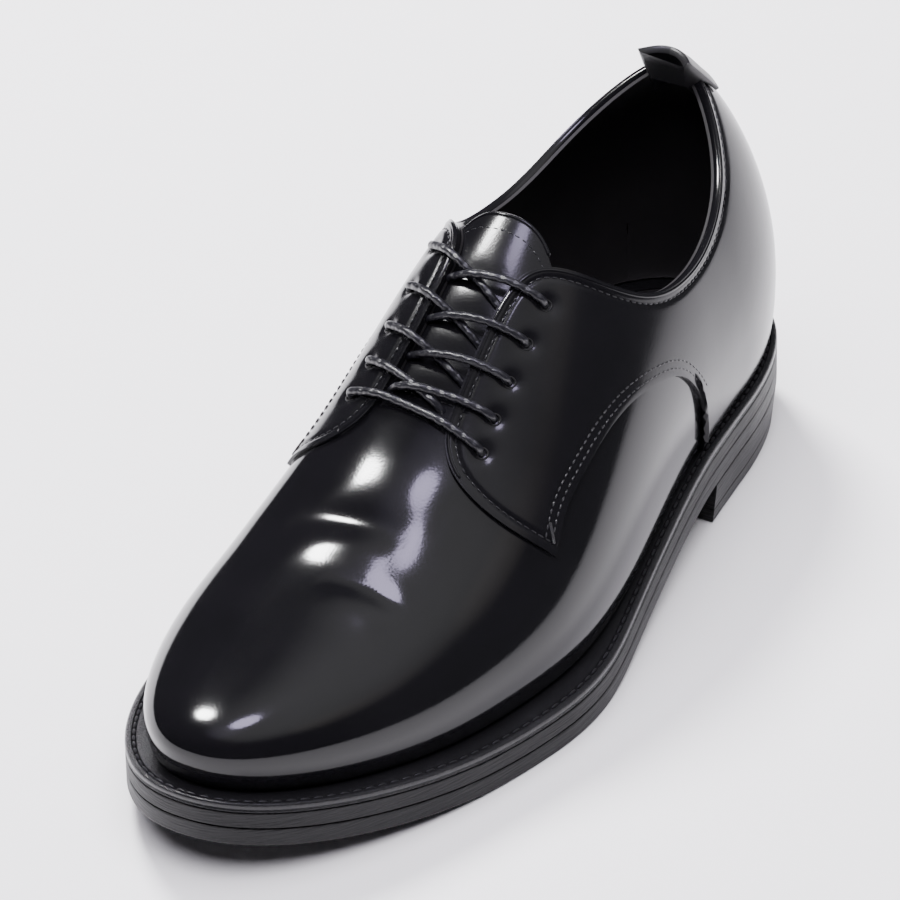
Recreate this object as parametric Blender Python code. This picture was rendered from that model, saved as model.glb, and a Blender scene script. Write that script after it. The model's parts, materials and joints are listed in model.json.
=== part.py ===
"""A plain-toe, open-laced leather shoe for the left foot, about EU size 43.

The upper is one hollow solid on the surface of a shoe last. The last is worked out from
its length, ball width and instep height through a table of cross sections, closed at the
toe and heel by rounded caps. Welt, midsole, outsole, heel and insole follow the same plan
outline and the same rocker of the sole.

Frame: +Z up, floor at z = 0, toe towards -Y, heel towards +Y, outer (lateral) side +X.
Units: metres.
"""
import math

import bpy
import bmesh
import numpy as np
from mathutils import Vector
from mathutils.geometry import delaunay_2d_cdt

MM = 0.001

# Upper
LAST_LENGTH = 0.293
BALL_WIDTH = 0.100
INSTEP_HEIGHT = 0.0875
UPPER_WALL = 0.0020
QUARTER_STEP = 0.0012
FEATHER_TUCK = 0.0028
TONGUE_THICKNESS = 0.0018
EYELET_DIAMETER = 0.0030
LACE_DIAMETER = 0.0024

# Bottom
OUTSOLE_THICKNESS = 0.0056
MIDSOLE_THICKNESS = 0.0048
WELT_THICKNESS = 0.0029
WELT_LEDGE = 0.0066
WELT_WIDTH_INSIDE = 0.0060
HEEL_HEIGHT = 0.0138
HEEL_TAPER = 0.0014
TOE_SPRING = 0.0113

# Pull tab
TAB_WIDTH = 0.0215
TAB_RISE = 0.0105
TAB_LEG = 0.0090
TAB_LEATHER = 0.0013

# Clearance between pieces that touch on the real shoe
GAP = 0.0003

# The last runs from this y to as far behind the middle
TOE_TIP = -LAST_LENGTH / 2

# Where along the last the sole touches the floor and where the heel starts
TREAD_FRONT = 0.285
TREAD_BACK = 0.395
HEEL_BREAST = 0.728
TOE_CAP_END = 0.25
HEEL_CAP_START = 0.81
TOE_SPRING_POWER = 1.8

# Sections of the last. Along is a share of the last's length from the toe tip; lateral,
# medial and shift are shares of the ball width; crown and lift are shares of the instep
# height over the feather edge. Square is the exponent of the section's curve and taper
# how much the top leans in.
SECTIONS = (
    # along lateral medial  crown  lift   square taper  shift
    (0.000, 0.300, -0.385, 0.314, 0.103, 2.20, 0.00, 0.000),
    (0.120, 0.375, -0.430, 0.366, 0.109, 2.20, 0.00, -0.020),
    (0.250, 0.470, -0.455, 0.474, 0.114, 2.20, 0.00, -0.050),
    (0.360, 0.535, -0.440, 0.634, 0.126, 2.20, 0.04, -0.090),
    (0.460, 0.535, -0.410, 0.829, 0.149, 2.20, 0.08, -0.095),
    (0.580, 0.490, -0.385, 1.006, 0.183, 2.20, 0.16, -0.090),
    (0.700, 0.435, -0.360, 1.109, 0.217, 2.20, 0.36, -0.060),
    (0.810, 0.395, -0.350, 1.120, 0.240, 2.35, 0.56, -0.030),
    (0.905, 0.370, -0.355, 1.097, 0.240, 2.50, 0.66, -0.015),
    (1.000, 0.360, -0.355, 1.063, 0.229, 2.60, 0.72, 0.000),
)

# How far the welt stands out past the upper, as a share of WELT_LEDGE
LEDGE = (
    # along lateral medial
    (0.00, 0.82, 0.82),
    (0.15, 0.92, 0.92),
    (0.28, 1.04, 1.00),
    (0.38, 0.98, 0.88),
    (0.50, 0.42, 0.50),
    (0.60, 0.28, 0.38),
    (0.80, 0.27, 0.34),
    (1.00, 0.27, 0.27),
)

# Edges of the quarters on the last: row is a share of the way over the ridge from the toe
# to the back of the heel, across runs from -1 at the medial side to +1 at the lateral side
LATERAL_TOPLINE = (
    (0.4214, 0.680), (0.4086, 0.540), (0.4045, 0.440), (0.4064, 0.340), (0.4130, 0.262),
    (0.4230, 0.208), (0.4360, 0.172), (0.4600, 0.155), (0.4910, 0.150), (0.5237, 0.156),
    (0.5455, 0.178), (0.5620, 0.222), (0.5760, 0.300), (0.5900, 0.405), (0.6060, 0.505),
    (0.6280, 0.595), (0.6540, 0.655), (0.6860, 0.690), (0.7220, 0.695), (0.7560, 0.670),
    (0.7880, 0.615), (0.8160, 0.520), (0.8370, 0.380), (0.8490, 0.200), (0.8530, 0.000),
)
MEDIAL_TOPLINE = (
    (0.4170, -0.600), (0.4100, -0.430), (0.4100, -0.325), (0.4165, -0.240),
    (0.4270, -0.185), (0.4420, -0.155), (0.4680, -0.145), (0.5000, -0.136),
    (0.5300, -0.136), (0.5500, -0.142), (0.5660, -0.170), (0.5800, -0.235),
    (0.5930, -0.330), (0.6060, -0.430), (0.6260, -0.530), (0.6520, -0.605),
    (0.6860, -0.650), (0.7220, -0.660), (0.7560, -0.640), (0.7880, -0.590),
    (0.8160, -0.500), (0.8370, -0.365), (0.8490, -0.190), (0.8530, 0.000),
)
LATERAL_ARC = (
    (0.4214, 0.680), (0.4490, 0.632), (0.4850, 0.628), (0.5200, 0.645), (0.5610, 0.690),
    (0.6020, 0.760), (0.6400, 0.850), (0.6720, 1.000),
)
MEDIAL_ARC = (
    (0.4170, -0.600), (0.4450, -0.565), (0.4850, -0.570), (0.5200, -0.600),
    (0.5610, -0.660), (0.6020, -0.745), (0.6400, -0.845), (0.6720, -1.000),
)
VAMP_SEAM_ROW = 0.461
TONGUE_ROWS = (0.432, 0.594)
TONGUE_REACH = 0.330

# Eyelet rows from the top down
LATERAL_EYELETS = ((0.5493, 0.318), (0.5180, 0.306), (0.4885, 0.300), (0.4615, 0.304), (0.4370, 0.315))
MEDIAL_EYELETS = ((0.5680, -0.330), (0.5345, -0.322), (0.5030, -0.316), (0.4760, -0.318), (0.4500, -0.320))

# Fineness of the solids
MESH_STEP = 0.0072
EDGE_STEP = 0.0062
BAND_STEPS = 3
SOLE_STATIONS = 44
ACROSS_SCALE = 0.086
TOE_FOOT_ANGLE = math.radians(45)
HEEL_FOOT_ANGLE = math.radians(40)
TOE_PLAN_POWER = 2.20
HEEL_PLAN_POWER = 2.35


class Curve:
    """Natural cubic spline through rows of values."""

    def __init__(self, knots, values):
        knots = np.asarray(knots, float)
        values = np.asarray(values, float)
        if values.ndim == 1:
            values = values[:, None]
        count = len(knots)
        step = np.diff(knots)
        matrix = np.zeros((count, count))
        right = np.zeros((count, values.shape[1]))
        matrix[0, 0] = matrix[-1, -1] = 1
        for i in range(1, count - 1):
            matrix[i, i - 1:i + 2] = step[i - 1], 2 * (step[i - 1] + step[i]), step[i]
            rise = (values[i + 1] - values[i]) / step[i]
            right[i] = 6 * (rise - (values[i] - values[i - 1]) / step[i - 1])
        self.knots = knots
        self.values = values
        self.bend = np.linalg.solve(matrix, right)

    def __call__(self, at):
        at = np.asarray(at, float)
        flat = at.ravel()
        i = np.clip(np.searchsorted(self.knots, flat) - 1, 0, len(self.knots) - 2)
        step = (self.knots[i + 1] - self.knots[i])[:, None]
        a = (self.knots[i + 1] - flat)[:, None] / step
        b = (flat - self.knots[i])[:, None] / step
        out = a * self.values[i] + b * self.values[i + 1]
        out = out + ((a ** 3 - a) * self.bend[i] + (b ** 3 - b) * self.bend[i + 1]) * step ** 2 / 6
        return out.reshape(at.shape + (self.values.shape[1],))


def smooth_through(points, step):
    """Points about one step apart on a smooth curve through the given ones."""
    points = np.asarray(points, float)
    scale = np.array([1.0, ACROSS_SCALE / ridge_length()])
    length = np.linalg.norm(np.diff(points * scale, axis=0), axis=1)
    knots = np.concatenate([[0.0], np.cumsum(length)])
    count = max(2, round(knots[-1] * ridge_length() / step))
    return Curve(knots, points)(np.linspace(0, knots[-1], count + 1))


def last_y(share):
    """World y of a share of the last's length."""
    return TOE_TIP + np.asarray(share, float) * LAST_LENGTH


SECTION_SCALE = np.array([BALL_WIDTH, BALL_WIDTH, INSTEP_HEIGHT, INSTEP_HEIGHT, 1, 1, BALL_WIDTH])
SECTION_CURVE = Curve(
    last_y([row[0] for row in SECTIONS]),
    np.array([row[1:] for row in SECTIONS]) * SECTION_SCALE,
)
LEDGE_CURVE = Curve(
    last_y([row[0] for row in LEDGE]),
    np.array([row[1:] for row in LEDGE]) * WELT_LEDGE,
)


def ridge_length():
    """Nominal way over the last from the toe, along the ridge and down the back."""
    toe = TOE_CAP_END * LAST_LENGTH * math.pi / 2
    heel = (1 - HEEL_CAP_START) * LAST_LENGTH * math.pi / 2
    return toe + (HEEL_CAP_START - TOE_CAP_END) * LAST_LENGTH + heel


def sole_bottom(y):
    """Height of the outsole's underside: toe spring, flat tread, rise to the heel seat."""
    y = np.asarray(y, float)
    front = last_y(TREAD_FRONT)
    back = last_y(TREAD_BACK)
    forward = np.clip((front - y) / (front - last_y(0.0)), 0, None)
    rise = np.clip((y - back) / (last_y(HEEL_BREAST) - back), 0, 1)
    return TOE_SPRING * forward ** TOE_SPRING_POWER + HEEL_HEIGHT * rise ** 2 * (3 - 2 * rise)


def midsole_bottom(y):
    """Height of the midsole's underside."""
    return sole_bottom(y) + OUTSOLE_THICKNESS + GAP


def welt_bottom(y):
    """Height of the welt's underside."""
    return midsole_bottom(y) + MIDSOLE_THICKNESS + GAP


def feather(y):
    """Height of the upper's lower edge, just above the welt."""
    return welt_bottom(y) + WELT_THICKNESS + GAP


def cap_directions(row, across):
    """Direction on the toe's or heel's unit cap for each row, and which cap it is on.

    A row runs from one side of the plan outline over the ridge to the other side. On a
    cap its two feet slide along the outline, so the rows never meet in one point.
    """
    row, across = np.broadcast_arrays(np.asarray(row, float), np.asarray(across, float))
    reach = row * ridge_length()
    toe_span = TOE_CAP_END * LAST_LENGTH * math.pi / 2
    heel_start = toe_span + (HEEL_CAP_START - TOE_CAP_END) * LAST_LENGTH
    heel_span = ridge_length() - heel_start
    toe = reach < toe_span
    heel = reach > heel_start
    turn = np.where(toe, reach / toe_span, 1.0)
    turn = np.where(heel, (ridge_length() - reach) / heel_span, turn)
    foot_angle = np.where(heel, HEEL_FOOT_ANGLE, TOE_FOOT_ANGLE)
    quick = ((math.pi / 2) / (math.pi / 2 - foot_angle) - 1) / 2
    plan = foot_angle + (math.pi / 2 - foot_angle) * ((1 - quick) * turn + quick * turn ** 3)
    tilt = turn * math.pi / 2
    foot_y = np.cos(plan)
    chord_y = np.cos(tilt) - foot_y
    chord_z = np.sin(tilt)
    chord = np.hypot(chord_y, chord_z)
    chord_y, chord_z = chord_y / chord, chord_z / chord
    back = -foot_y * chord_y
    centre_y = foot_y + back * chord_y
    centre_z = back * chord_z
    radius = np.sqrt(1 - centre_y ** 2 - centre_z ** 2)
    start = np.arctan2(-back, np.sin(plan))
    angle = math.pi / 2 - across * (math.pi / 2 - start)
    forward = centre_y + radius * np.sin(angle) * chord_y
    up = centre_z + radius * np.sin(angle) * chord_z
    body_y = last_y(TOE_CAP_END) + reach - toe_span
    return radius * np.cos(angle), forward, up, toe, heel, body_y


def last_point(row, across):
    """Point of the last's surface."""
    side, forward, up, toe, heel, body_y = cap_directions(row, across)
    toe_y = last_y(TOE_CAP_END)
    heel_y = last_y(HEEL_CAP_START)
    toe_reach = TOE_CAP_END * LAST_LENGTH
    heel_reach = (1 - HEEL_CAP_START) * LAST_LENGTH
    near_y = np.where(toe, toe_y - 0.8 * toe_reach * forward, body_y)
    near_y = np.where(heel, heel_y + 0.8 * heel_reach * forward, near_y)
    square = SECTION_CURVE(near_y)[..., 4]
    plan_power = np.where(heel, HEEL_PLAN_POWER, TOE_PLAN_POWER)
    plan = np.abs(side) ** plan_power + np.abs(forward) ** plan_power
    scale = (plan ** (square / plan_power) + np.abs(up) ** square) ** (-1 / square)
    side, forward, up = side * scale, forward * scale, up * scale
    y = np.where(toe, toe_y - toe_reach * forward, body_y)
    y = np.where(heel, heel_y + heel_reach * forward, y)
    lateral, medial, crown, lift, square, taper, shift = np.moveaxis(SECTION_CURVE(y), -1, 0)
    middle = (lateral + medial) / 2
    half = (lateral - medial) / 2
    x = middle + half * side * (1 - taper * up ** 2) + shift * up ** 2
    z = feather(y) + lift + (crown - lift) * up
    return np.stack([x, y, z], -1)


def last_normal(row, across):
    """Outward unit normal of the last's surface."""
    step = 1e-4
    row = np.clip(row, step, 1 - step)
    across = np.clip(across, -1 + step, 1 - step)
    along = last_point(row + step, across) - last_point(row - step, across)
    over = last_point(row, across + step) - last_point(row, across - step)
    normal = np.cross(over, along)
    return normal / np.linalg.norm(normal, axis=-1, keepdims=True)


def local_size(row, across):
    """Metres of surface per unit of row and of across."""
    step = 1e-4
    along = last_point(row + step, across) - last_point(row - step, across)
    over = last_point(row, across + step) - last_point(row, across - step)
    return np.linalg.norm(along) / (2 * step), np.linalg.norm(over) / (2 * step)


def perimeter(step):
    """Rows and acrosses of points on the plan outline, lateral side first, toe to heel."""
    side_count = round(LAST_LENGTH * 0.93 / step)
    end_count = round(0.075 / step)
    side_rows = np.linspace(0, 1, side_count + 1)
    end_across = np.linspace(1, -1, end_count + 1)
    lateral = [(row, 1.0) for row in side_rows]
    heel = [(1.0, across) for across in end_across[1:-1]]
    medial = [(row, -1.0) for row in side_rows[::-1]]
    toe = [(0.0, across) for across in end_across[::-1][1:-1]]
    return lateral, heel, medial, toe


def plan_normals(points):
    """Outward normals in plan of a closed loop of points, lateral side first."""
    tangent = np.roll(points, -1, axis=0) - np.roll(points, 1, axis=0)
    normal = np.stack([-tangent[:, 1], tangent[:, 0], np.zeros(len(points))], -1)
    normal = -normal / np.linalg.norm(normal, axis=1, keepdims=True)
    return normal


def outline_loop(step):
    """Closed loop on the last's widest line, with its normals in plan."""
    stations = [station for side in perimeter(step) for station in side]
    points = last_point([s[0] for s in stations], [s[1] for s in stations])
    return points, plan_normals(points)


def ledge(points):
    """How far the welt stands out past the upper at each point."""
    values = LEDGE_CURVE(points[:, 1])
    middle = SECTION_CURVE(points[:, 1])[:, :2].mean(axis=1)
    share = np.clip((points[:, 0] - middle) / (0.2 * BALL_WIDTH), -1, 1)
    return values[:, 0] * (1 + share) / 2 + values[:, 1] * (1 - share) / 2


def sole_loop(step, extra=0.0):
    """Closed loop of the sole's outline, or of one that lies further out by extra."""
    points, normals = outline_loop(step)
    return points + normals * (ledge(points) + extra)[:, None]


def inner_loop(step, inset):
    """Closed loop that lies inside the feather edge by inset."""
    points, normals = outline_loop(step)
    return points - normals * (FEATHER_TUCK + inset)


def sides_of(loop):
    """Lateral and medial x of a loop as functions of y, and its range of y."""
    toe = int(np.argmin(loop[:, 1]))
    heel = int(np.argmax(loop[:, 1]))
    rolled = np.roll(loop, -toe, axis=0)
    split = (heel - toe) % len(loop)
    lateral = rolled[:split + 1]
    medial = np.concatenate([rolled[split:], rolled[:1]])[::-1]

    def side_x(side, y):
        order = np.argsort(side[:, 1])
        return np.interp(y, side[order, 1], side[order, 0])

    return (lambda y: side_x(lateral, y)), (lambda y: side_x(medial, y)), loop[toe], loop[heel]


def tidy_mesh(name, mesh_object):
    """Give the object one material and smooth shading across its soft edges."""
    bpy.context.scene.collection.objects.link(mesh_object)
    finish = "lace" if "crossing" in name or "lace" in name else name
    colour, roughness, metallic = FINISHES[finish]
    material = bpy.data.materials.get(name) or bpy.data.materials.new(name)
    material.use_nodes = True
    shader = material.node_tree.nodes["Principled BSDF"]
    shader.inputs["Base Color"].default_value = (*colour, 1)
    shader.inputs["Roughness"].default_value = roughness
    shader.inputs["Metallic"].default_value = metallic
    mesh_object.data.materials.append(material)
    mesh_object.data.shade_smooth()
    mesh_object.data.set_sharp_from_angle(angle=math.radians(40))
    return mesh_object


def make_object(name, vertices, faces):
    """Object from vertices and faces that already point outwards."""
    mesh = bpy.data.meshes.new(name)
    mesh.from_pydata([tuple(map(float, v)) for v in vertices], [], faces)
    mesh.validate()
    return tidy_mesh(name, bpy.data.objects.new(name, mesh))


FINISHES = {
    "upper": ((0.012, 0.012, 0.013), 0.12, 0.0),
    "tongue": ((0.012, 0.012, 0.013), 0.14, 0.0),
    "insole": ((0.010, 0.010, 0.010), 0.55, 0.0),
    "pull_tab": ((0.010, 0.010, 0.011), 0.45, 0.0),
    "welt": ((0.020, 0.020, 0.021), 0.40, 0.0),
    "midsole": ((0.022, 0.022, 0.023), 0.55, 0.0),
    "outsole": ((0.020, 0.020, 0.021), 0.60, 0.0),
    "heel": ((0.020, 0.020, 0.021), 0.60, 0.0),
    "lace": ((0.014, 0.014, 0.016), 0.35, 0.0),
}


def make_shell(name, points, normals, triangles, inner):
    """Closed solid from a triangulated sheet.

    Each triangle carries the level of its outer face over the sheet; the inner face lies
    at the inner level everywhere. Neighbours at different levels are joined by a step.
    """
    vertices = []
    index = {}

    def vertex(i, level):
        if (i, level) not in index:
            index[i, level] = len(vertices)
            vertices.append(points[i] + normals[i] * level)
        return index[i, level]

    directed = {}
    levels_at = {}
    for i, j, k, level in triangles:
        for a, b in ((i, j), (j, k), (k, i)):
            directed[a, b] = level
            levels_at.setdefault(a, set()).add(level)
    faces = []

    def wall(a, b, top, bottom):
        chains = []
        for i in (a, b):
            between = {lev for lev in levels_at[i] if bottom < lev < top}
            chains.append([vertex(i, lev) for lev in sorted(between | {top, bottom}, reverse=True)])
        first, second = chains
        for high, low in zip(first, first[1:]):
            faces.append((second[0], high, low))
        for high, low in zip(second, second[1:]):
            faces.append((first[-1], low, high))

    for i, j, k, level in triangles:
        faces.append((vertex(i, level), vertex(j, level), vertex(k, level)))
        faces.append((vertex(k, inner), vertex(j, inner), vertex(i, inner)))
    for (a, b), level in directed.items():
        other = directed.get((b, a), inner)
        if level > other:
            wall(a, b, level, other)
    return make_object(name, vertices, faces)


def inside(polygon, points):
    """Whether each point lies in the polygon, by crossings of its edges."""
    hit = np.zeros(len(points), bool)
    for (x0, y0), (x1, y1) in zip(polygon, np.roll(polygon, -1, axis=0)):
        if y0 == y1:
            continue
        spans = (points[:, 1] > min(y0, y1)) & (points[:, 1] <= max(y0, y1))
        cross = x0 + (points[:, 1] - y0) * (x1 - x0) / (y1 - y0)
        hit ^= spans & (points[:, 0] < cross)
    return hit


def eyelet_ring(row, across):
    """Eight points of a round hole of the eyelet's diameter."""
    per_row, per_across = local_size(row, across)
    turn = np.arange(8) * math.pi / 4
    radius = EYELET_DIAMETER / 2
    return np.stack([row + radius * np.cos(turn) / per_row, across + radius * np.sin(turn) / per_across], -1)


def upper_sheet():
    """Triangles of the upper on the last, cut at the quarters' edges and the openings."""
    lateral, heel, medial, toe = (np.array(side) for side in perimeter(EDGE_STEP))
    topline = smooth_through(LATERAL_TOPLINE, EDGE_STEP * 0.8)
    inner_topline = smooth_through(MEDIAL_TOPLINE, EDGE_STEP * 0.8)
    arc = smooth_through(LATERAL_ARC, EDGE_STEP)
    inner_arc = smooth_through(MEDIAL_ARC, EDGE_STEP)
    for curve, seam_row in ((topline, VAMP_SEAM_ROW), (inner_topline, VAMP_SEAM_ROW)):
        half = curve[:len(curve) // 3]
        curve[int(np.argmin(np.abs(half[:, 0] - seam_row) + np.abs(half[:, 1]) * 0.1)), 0] = seam_row
    at = int(np.argmax(topline[:, 0] == VAMP_SEAM_ROW))
    inner_at = int(np.argmax(inner_topline[:, 0] == VAMP_SEAM_ROW))
    seam = np.linspace(topline[at], inner_topline[inner_at], 6)
    rings = [eyelet_ring(*eyelet) for eyelet in LATERAL_EYELETS + MEDIAL_EYELETS]
    lateral = insert_row(lateral, arc[-1, 0])
    medial = insert_row(medial, inner_arc[-1, 0])

    opening = np.concatenate([topline[at:], inner_topline[inner_at:][::-1], seam[::-1][1:-1]])
    quarter = np.concatenate([
        topline, inner_topline[::-1][1:], inner_arc[1:],
        [(1.0, -1.0), (1.0, 1.0)], arc[::-1][:-1],
    ])
    border = np.concatenate([lateral, heel, medial, toe])

    scale = np.array([ridge_length(), ACROSS_SCALE])
    chains = [(topline, False), (inner_topline, False), (arc, False), (inner_arc, False), (seam, False)]
    chains += [(border, True)] + [(ring, True) for ring in rings]
    corners, edges = [], []
    for chain, closed in chains:
        start = len(corners)
        corners += list(chain * scale)
        count = len(chain)
        edges += [(start + i, start + (i + 1) % count) for i in range(count if closed else count - 1)]
    fixed = np.array(corners)
    rows = np.arange(MESH_STEP * 0.8, ridge_length() - MESH_STEP * 0.5, MESH_STEP * 0.87)
    for number, u in enumerate(rows):
        offset = MESH_STEP * (0.5 if number % 2 else 0.0)
        for v in np.arange(-ACROSS_SCALE + MESH_STEP * 0.7 + offset, ACROSS_SCALE - MESH_STEP * 0.6, MESH_STEP):
            if np.min(np.hypot(fixed[:, 0] - u, fixed[:, 1] - v)) > MESH_STEP * 0.55:
                corners.append(np.array([u, v]))
    result = delaunay_2d_cdt([Vector(c) for c in corners], edges, [], 0, 1e-7)
    flat = np.array([tuple(v) for v in result[0]]) / scale
    faces = [tuple(face) for face in result[2]]
    middle = np.array([flat[list(face)].mean(axis=0) for face in faces])
    keep = ~inside(opening, middle)
    for ring in rings:
        keep &= ~inside(ring, middle)
    raised = inside(quarter, middle)
    triangles = [
        (*orient(flat, face), QUARTER_STEP if high else 0.0)
        for face, good, high in zip(faces, keep, raised) if good
    ]
    return flat, triangles


def insert_row(side, row):
    """Move the nearest station of one side of the outline onto the given row."""
    side = side.copy()
    side[int(np.argmin(np.abs(side[:, 0] - row))), 0] = row
    return side


def orient(flat, face):
    """Corners in the order that makes the face look outwards."""
    a, b, c = flat[list(face)]
    turned = (b[0] - a[0]) * (c[1] - a[1]) - (b[1] - a[1]) * (c[0] - a[0])
    return face if turned < 0 else face[::-1]


def make_upper():
    """Vamp and quarters as one hollow wall, the quarters as a raised step."""
    flat, triangles = upper_sheet()
    points = last_point(flat[:, 0], flat[:, 1])
    normals = last_normal(flat[:, 0], flat[:, 1])
    tiny = 1e-6
    border = [i for i, (row, across) in enumerate(flat)
              if row < tiny or row > 1 - tiny or abs(across) > 1 - tiny]

    def way(i):
        row, across = flat[i]
        if across > 1 - tiny:
            return row
        if row > 1 - tiny:
            return 1 + (1 - across) / 2
        if across < -1 + tiny:
            return 2 + (1 - row)
        return 3 + (1 + across) / 2

    border.sort(key=way)
    loop = points[border]
    outward = plan_normals(loop)
    normals[border] = outward
    used = {(a, b): level for i, j, k, level in triangles for a, b in ((i, j), (j, k), (k, i))}
    points, normals = list(points), list(normals)
    rings = [border]
    for step in range(1, BAND_STEPS + 1):
        angle = step / BAND_STEPS * math.pi / 2
        inset = FEATHER_TUCK * (1 - math.cos(angle))
        low = loop - outward * inset
        low[:, 2] = loop[:, 2] + (feather(low[:, 1]) - loop[:, 2]) * math.sin(angle)
        rings.append(list(range(len(points), len(points) + len(border))))
        points += list(low)
        normals += list(outward)
    count = len(border)
    for upper_ring, lower_ring in zip(rings, rings[1:]):
        for n in range(count):
            m = (n + 1) % count
            level = used[border[n], border[m]]
            a, b, c, d = upper_ring[n], upper_ring[m], lower_ring[m], lower_ring[n]
            triangles += [(b, a, d, level), (b, d, c, level)]
    return make_shell("upper", np.array(points), np.array(normals), triangles, -UPPER_WALL)


def make_tongue():
    """Tongue under the facings, from below the vamp's seam to its rounded top."""
    start, end = TONGUE_ROWS
    row_count, across_count = 16, 12
    centre = -0.005
    flat = []
    for share in np.linspace(0, 1, row_count + 1):
        for side in np.linspace(-1, 1, across_count + 1):
            top_row = end - 0.018 * side ** 4
            flat.append((start + (top_row - start) * share,
                         centre + TONGUE_REACH * (1 - 0.06 * share ** 2) * side))
    flat = np.array(flat)
    top = -(UPPER_WALL + GAP)
    triangles = []
    for i in range(row_count):
        for j in range(across_count):
            a = i * (across_count + 1) + j
            b, c, d = a + 1, a + across_count + 2, a + across_count + 1
            triangles += [(*orient(flat, (a, b, c)), top), (*orient(flat, (a, c, d)), top)]
    points = last_point(flat[:, 0], flat[:, 1])
    normals = last_normal(flat[:, 0], flat[:, 1])
    return make_shell("tongue", points, normals, triangles, top - TONGUE_THICKNESS)


def make_plate(name, loop, bottom, thickness):
    """Plate with the loop's outline that follows the rocker of the sole."""
    lateral_x, medial_x, toe, heel = sides_of(loop)
    share = (1 - np.cos(np.linspace(0, math.pi, SOLE_STATIONS + 1))) / 2
    share = 0.6 * share + 0.4 * np.linspace(0, 1, SOLE_STATIONS + 1)
    stations = toe[1] + (heel[1] - toe[1]) * share
    vertices = []
    for y in stations[1:-1]:
        low = float(bottom(y))
        for x in (lateral_x(y), medial_x(y)):
            vertices += [(x, y, low), (x, y, low + thickness)]
    for tip in (toe, heel):
        low = float(bottom(tip[1]))
        vertices += [(tip[0], tip[1], low), (tip[0], tip[1], low + thickness)]
    toe_low, heel_low = len(vertices) - 4, len(vertices) - 2
    last = 4 * (SOLE_STATIONS - 2)
    faces = [
        (toe_low, 2, 0), (toe_low + 1, 1, 3),
        (toe_low, 0, 1, toe_low + 1), (toe_low + 1, 3, 2, toe_low),
        (heel_low, last, last + 2), (heel_low + 1, last + 3, last + 1),
        (heel_low, heel_low + 1, last + 1, last), (heel_low + 1, heel_low, last + 2, last + 3),
    ]
    for a in range(0, last, 4):
        b = a + 4
        faces += [(a, a + 2, b + 2, b), (a + 1, b + 1, b + 3, a + 3),
                  (a, b, b + 1, a + 1), (a + 2, a + 3, b + 3, b + 2)]
    return make_object(name, vertices, faces)


def make_ring(name, outer, inner, bottom, thickness):
    """Flat ring between two loops that follows the rocker of the sole."""
    vertices = []
    for loop in (outer, inner):
        for height in (0.0, thickness):
            vertices += [(x, y, float(bottom(y)) + height) for x, y, _ in loop]
    count = len(outer)
    faces = []
    for i in range(count):
        j = (i + 1) % count
        outer_low, outer_high, inner_low, inner_high = ((i + k * count, j + k * count) for k in range(4))
        for first, second in ((outer_high, outer_low), (inner_high, outer_high),
                              (inner_low, inner_high), (outer_low, inner_low)):
            faces.append((first[0], second[0], second[1], first[1]))
    return make_object(name, vertices, faces)


def make_heel():
    """One heel block, straight at the breast, slightly smaller at the floor."""
    breast = float(last_y(HEEL_BREAST))
    loops = []
    for inset, height in ((HEEL_TAPER, 0.0), (0.0, HEEL_HEIGHT - GAP)):
        lateral_x, medial_x, _, heel = sides_of(sole_loop(EDGE_STEP, -inset))
        share = np.sin(np.linspace(0, math.pi / 2, 13))
        stations = breast + (heel[1] - breast) * share
        corners = [(lateral_x(y), y, height) for y in stations[:-1]]
        corners.append((heel[0], heel[1], height))
        corners += [(medial_x(y), y, height) for y in stations[:-1][::-1]]
        loops.append(corners)
    count = len(loops[0])
    faces = [tuple(range(count))[::-1], tuple(range(count, 2 * count))]
    for i in range(count):
        j = (i + 1) % count
        faces.append((i, j, j + count, i + count))
    return make_object("heel", loops[0] + loops[1], faces)


def slide_down(row, across, tangent, length):
    """Station on the last that lies length below the given one, square to the tangent."""
    steps = 4
    for _ in range(steps):
        small = 1e-4
        here = last_point(row, across)
        along = (last_point(row + small, across) - here) / small
        over = (last_point(row, across + small) - here) / small
        normal = np.cross(over, along)
        down = np.cross(tangent, normal)
        down *= -math.copysign(1.0, down[2]) / np.linalg.norm(down)
        move, *_ = np.linalg.lstsq(np.stack([along, over], -1), down * length / steps, rcond=None)
        row, across = row + move[0], across + move[1]
    return row, across


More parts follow.
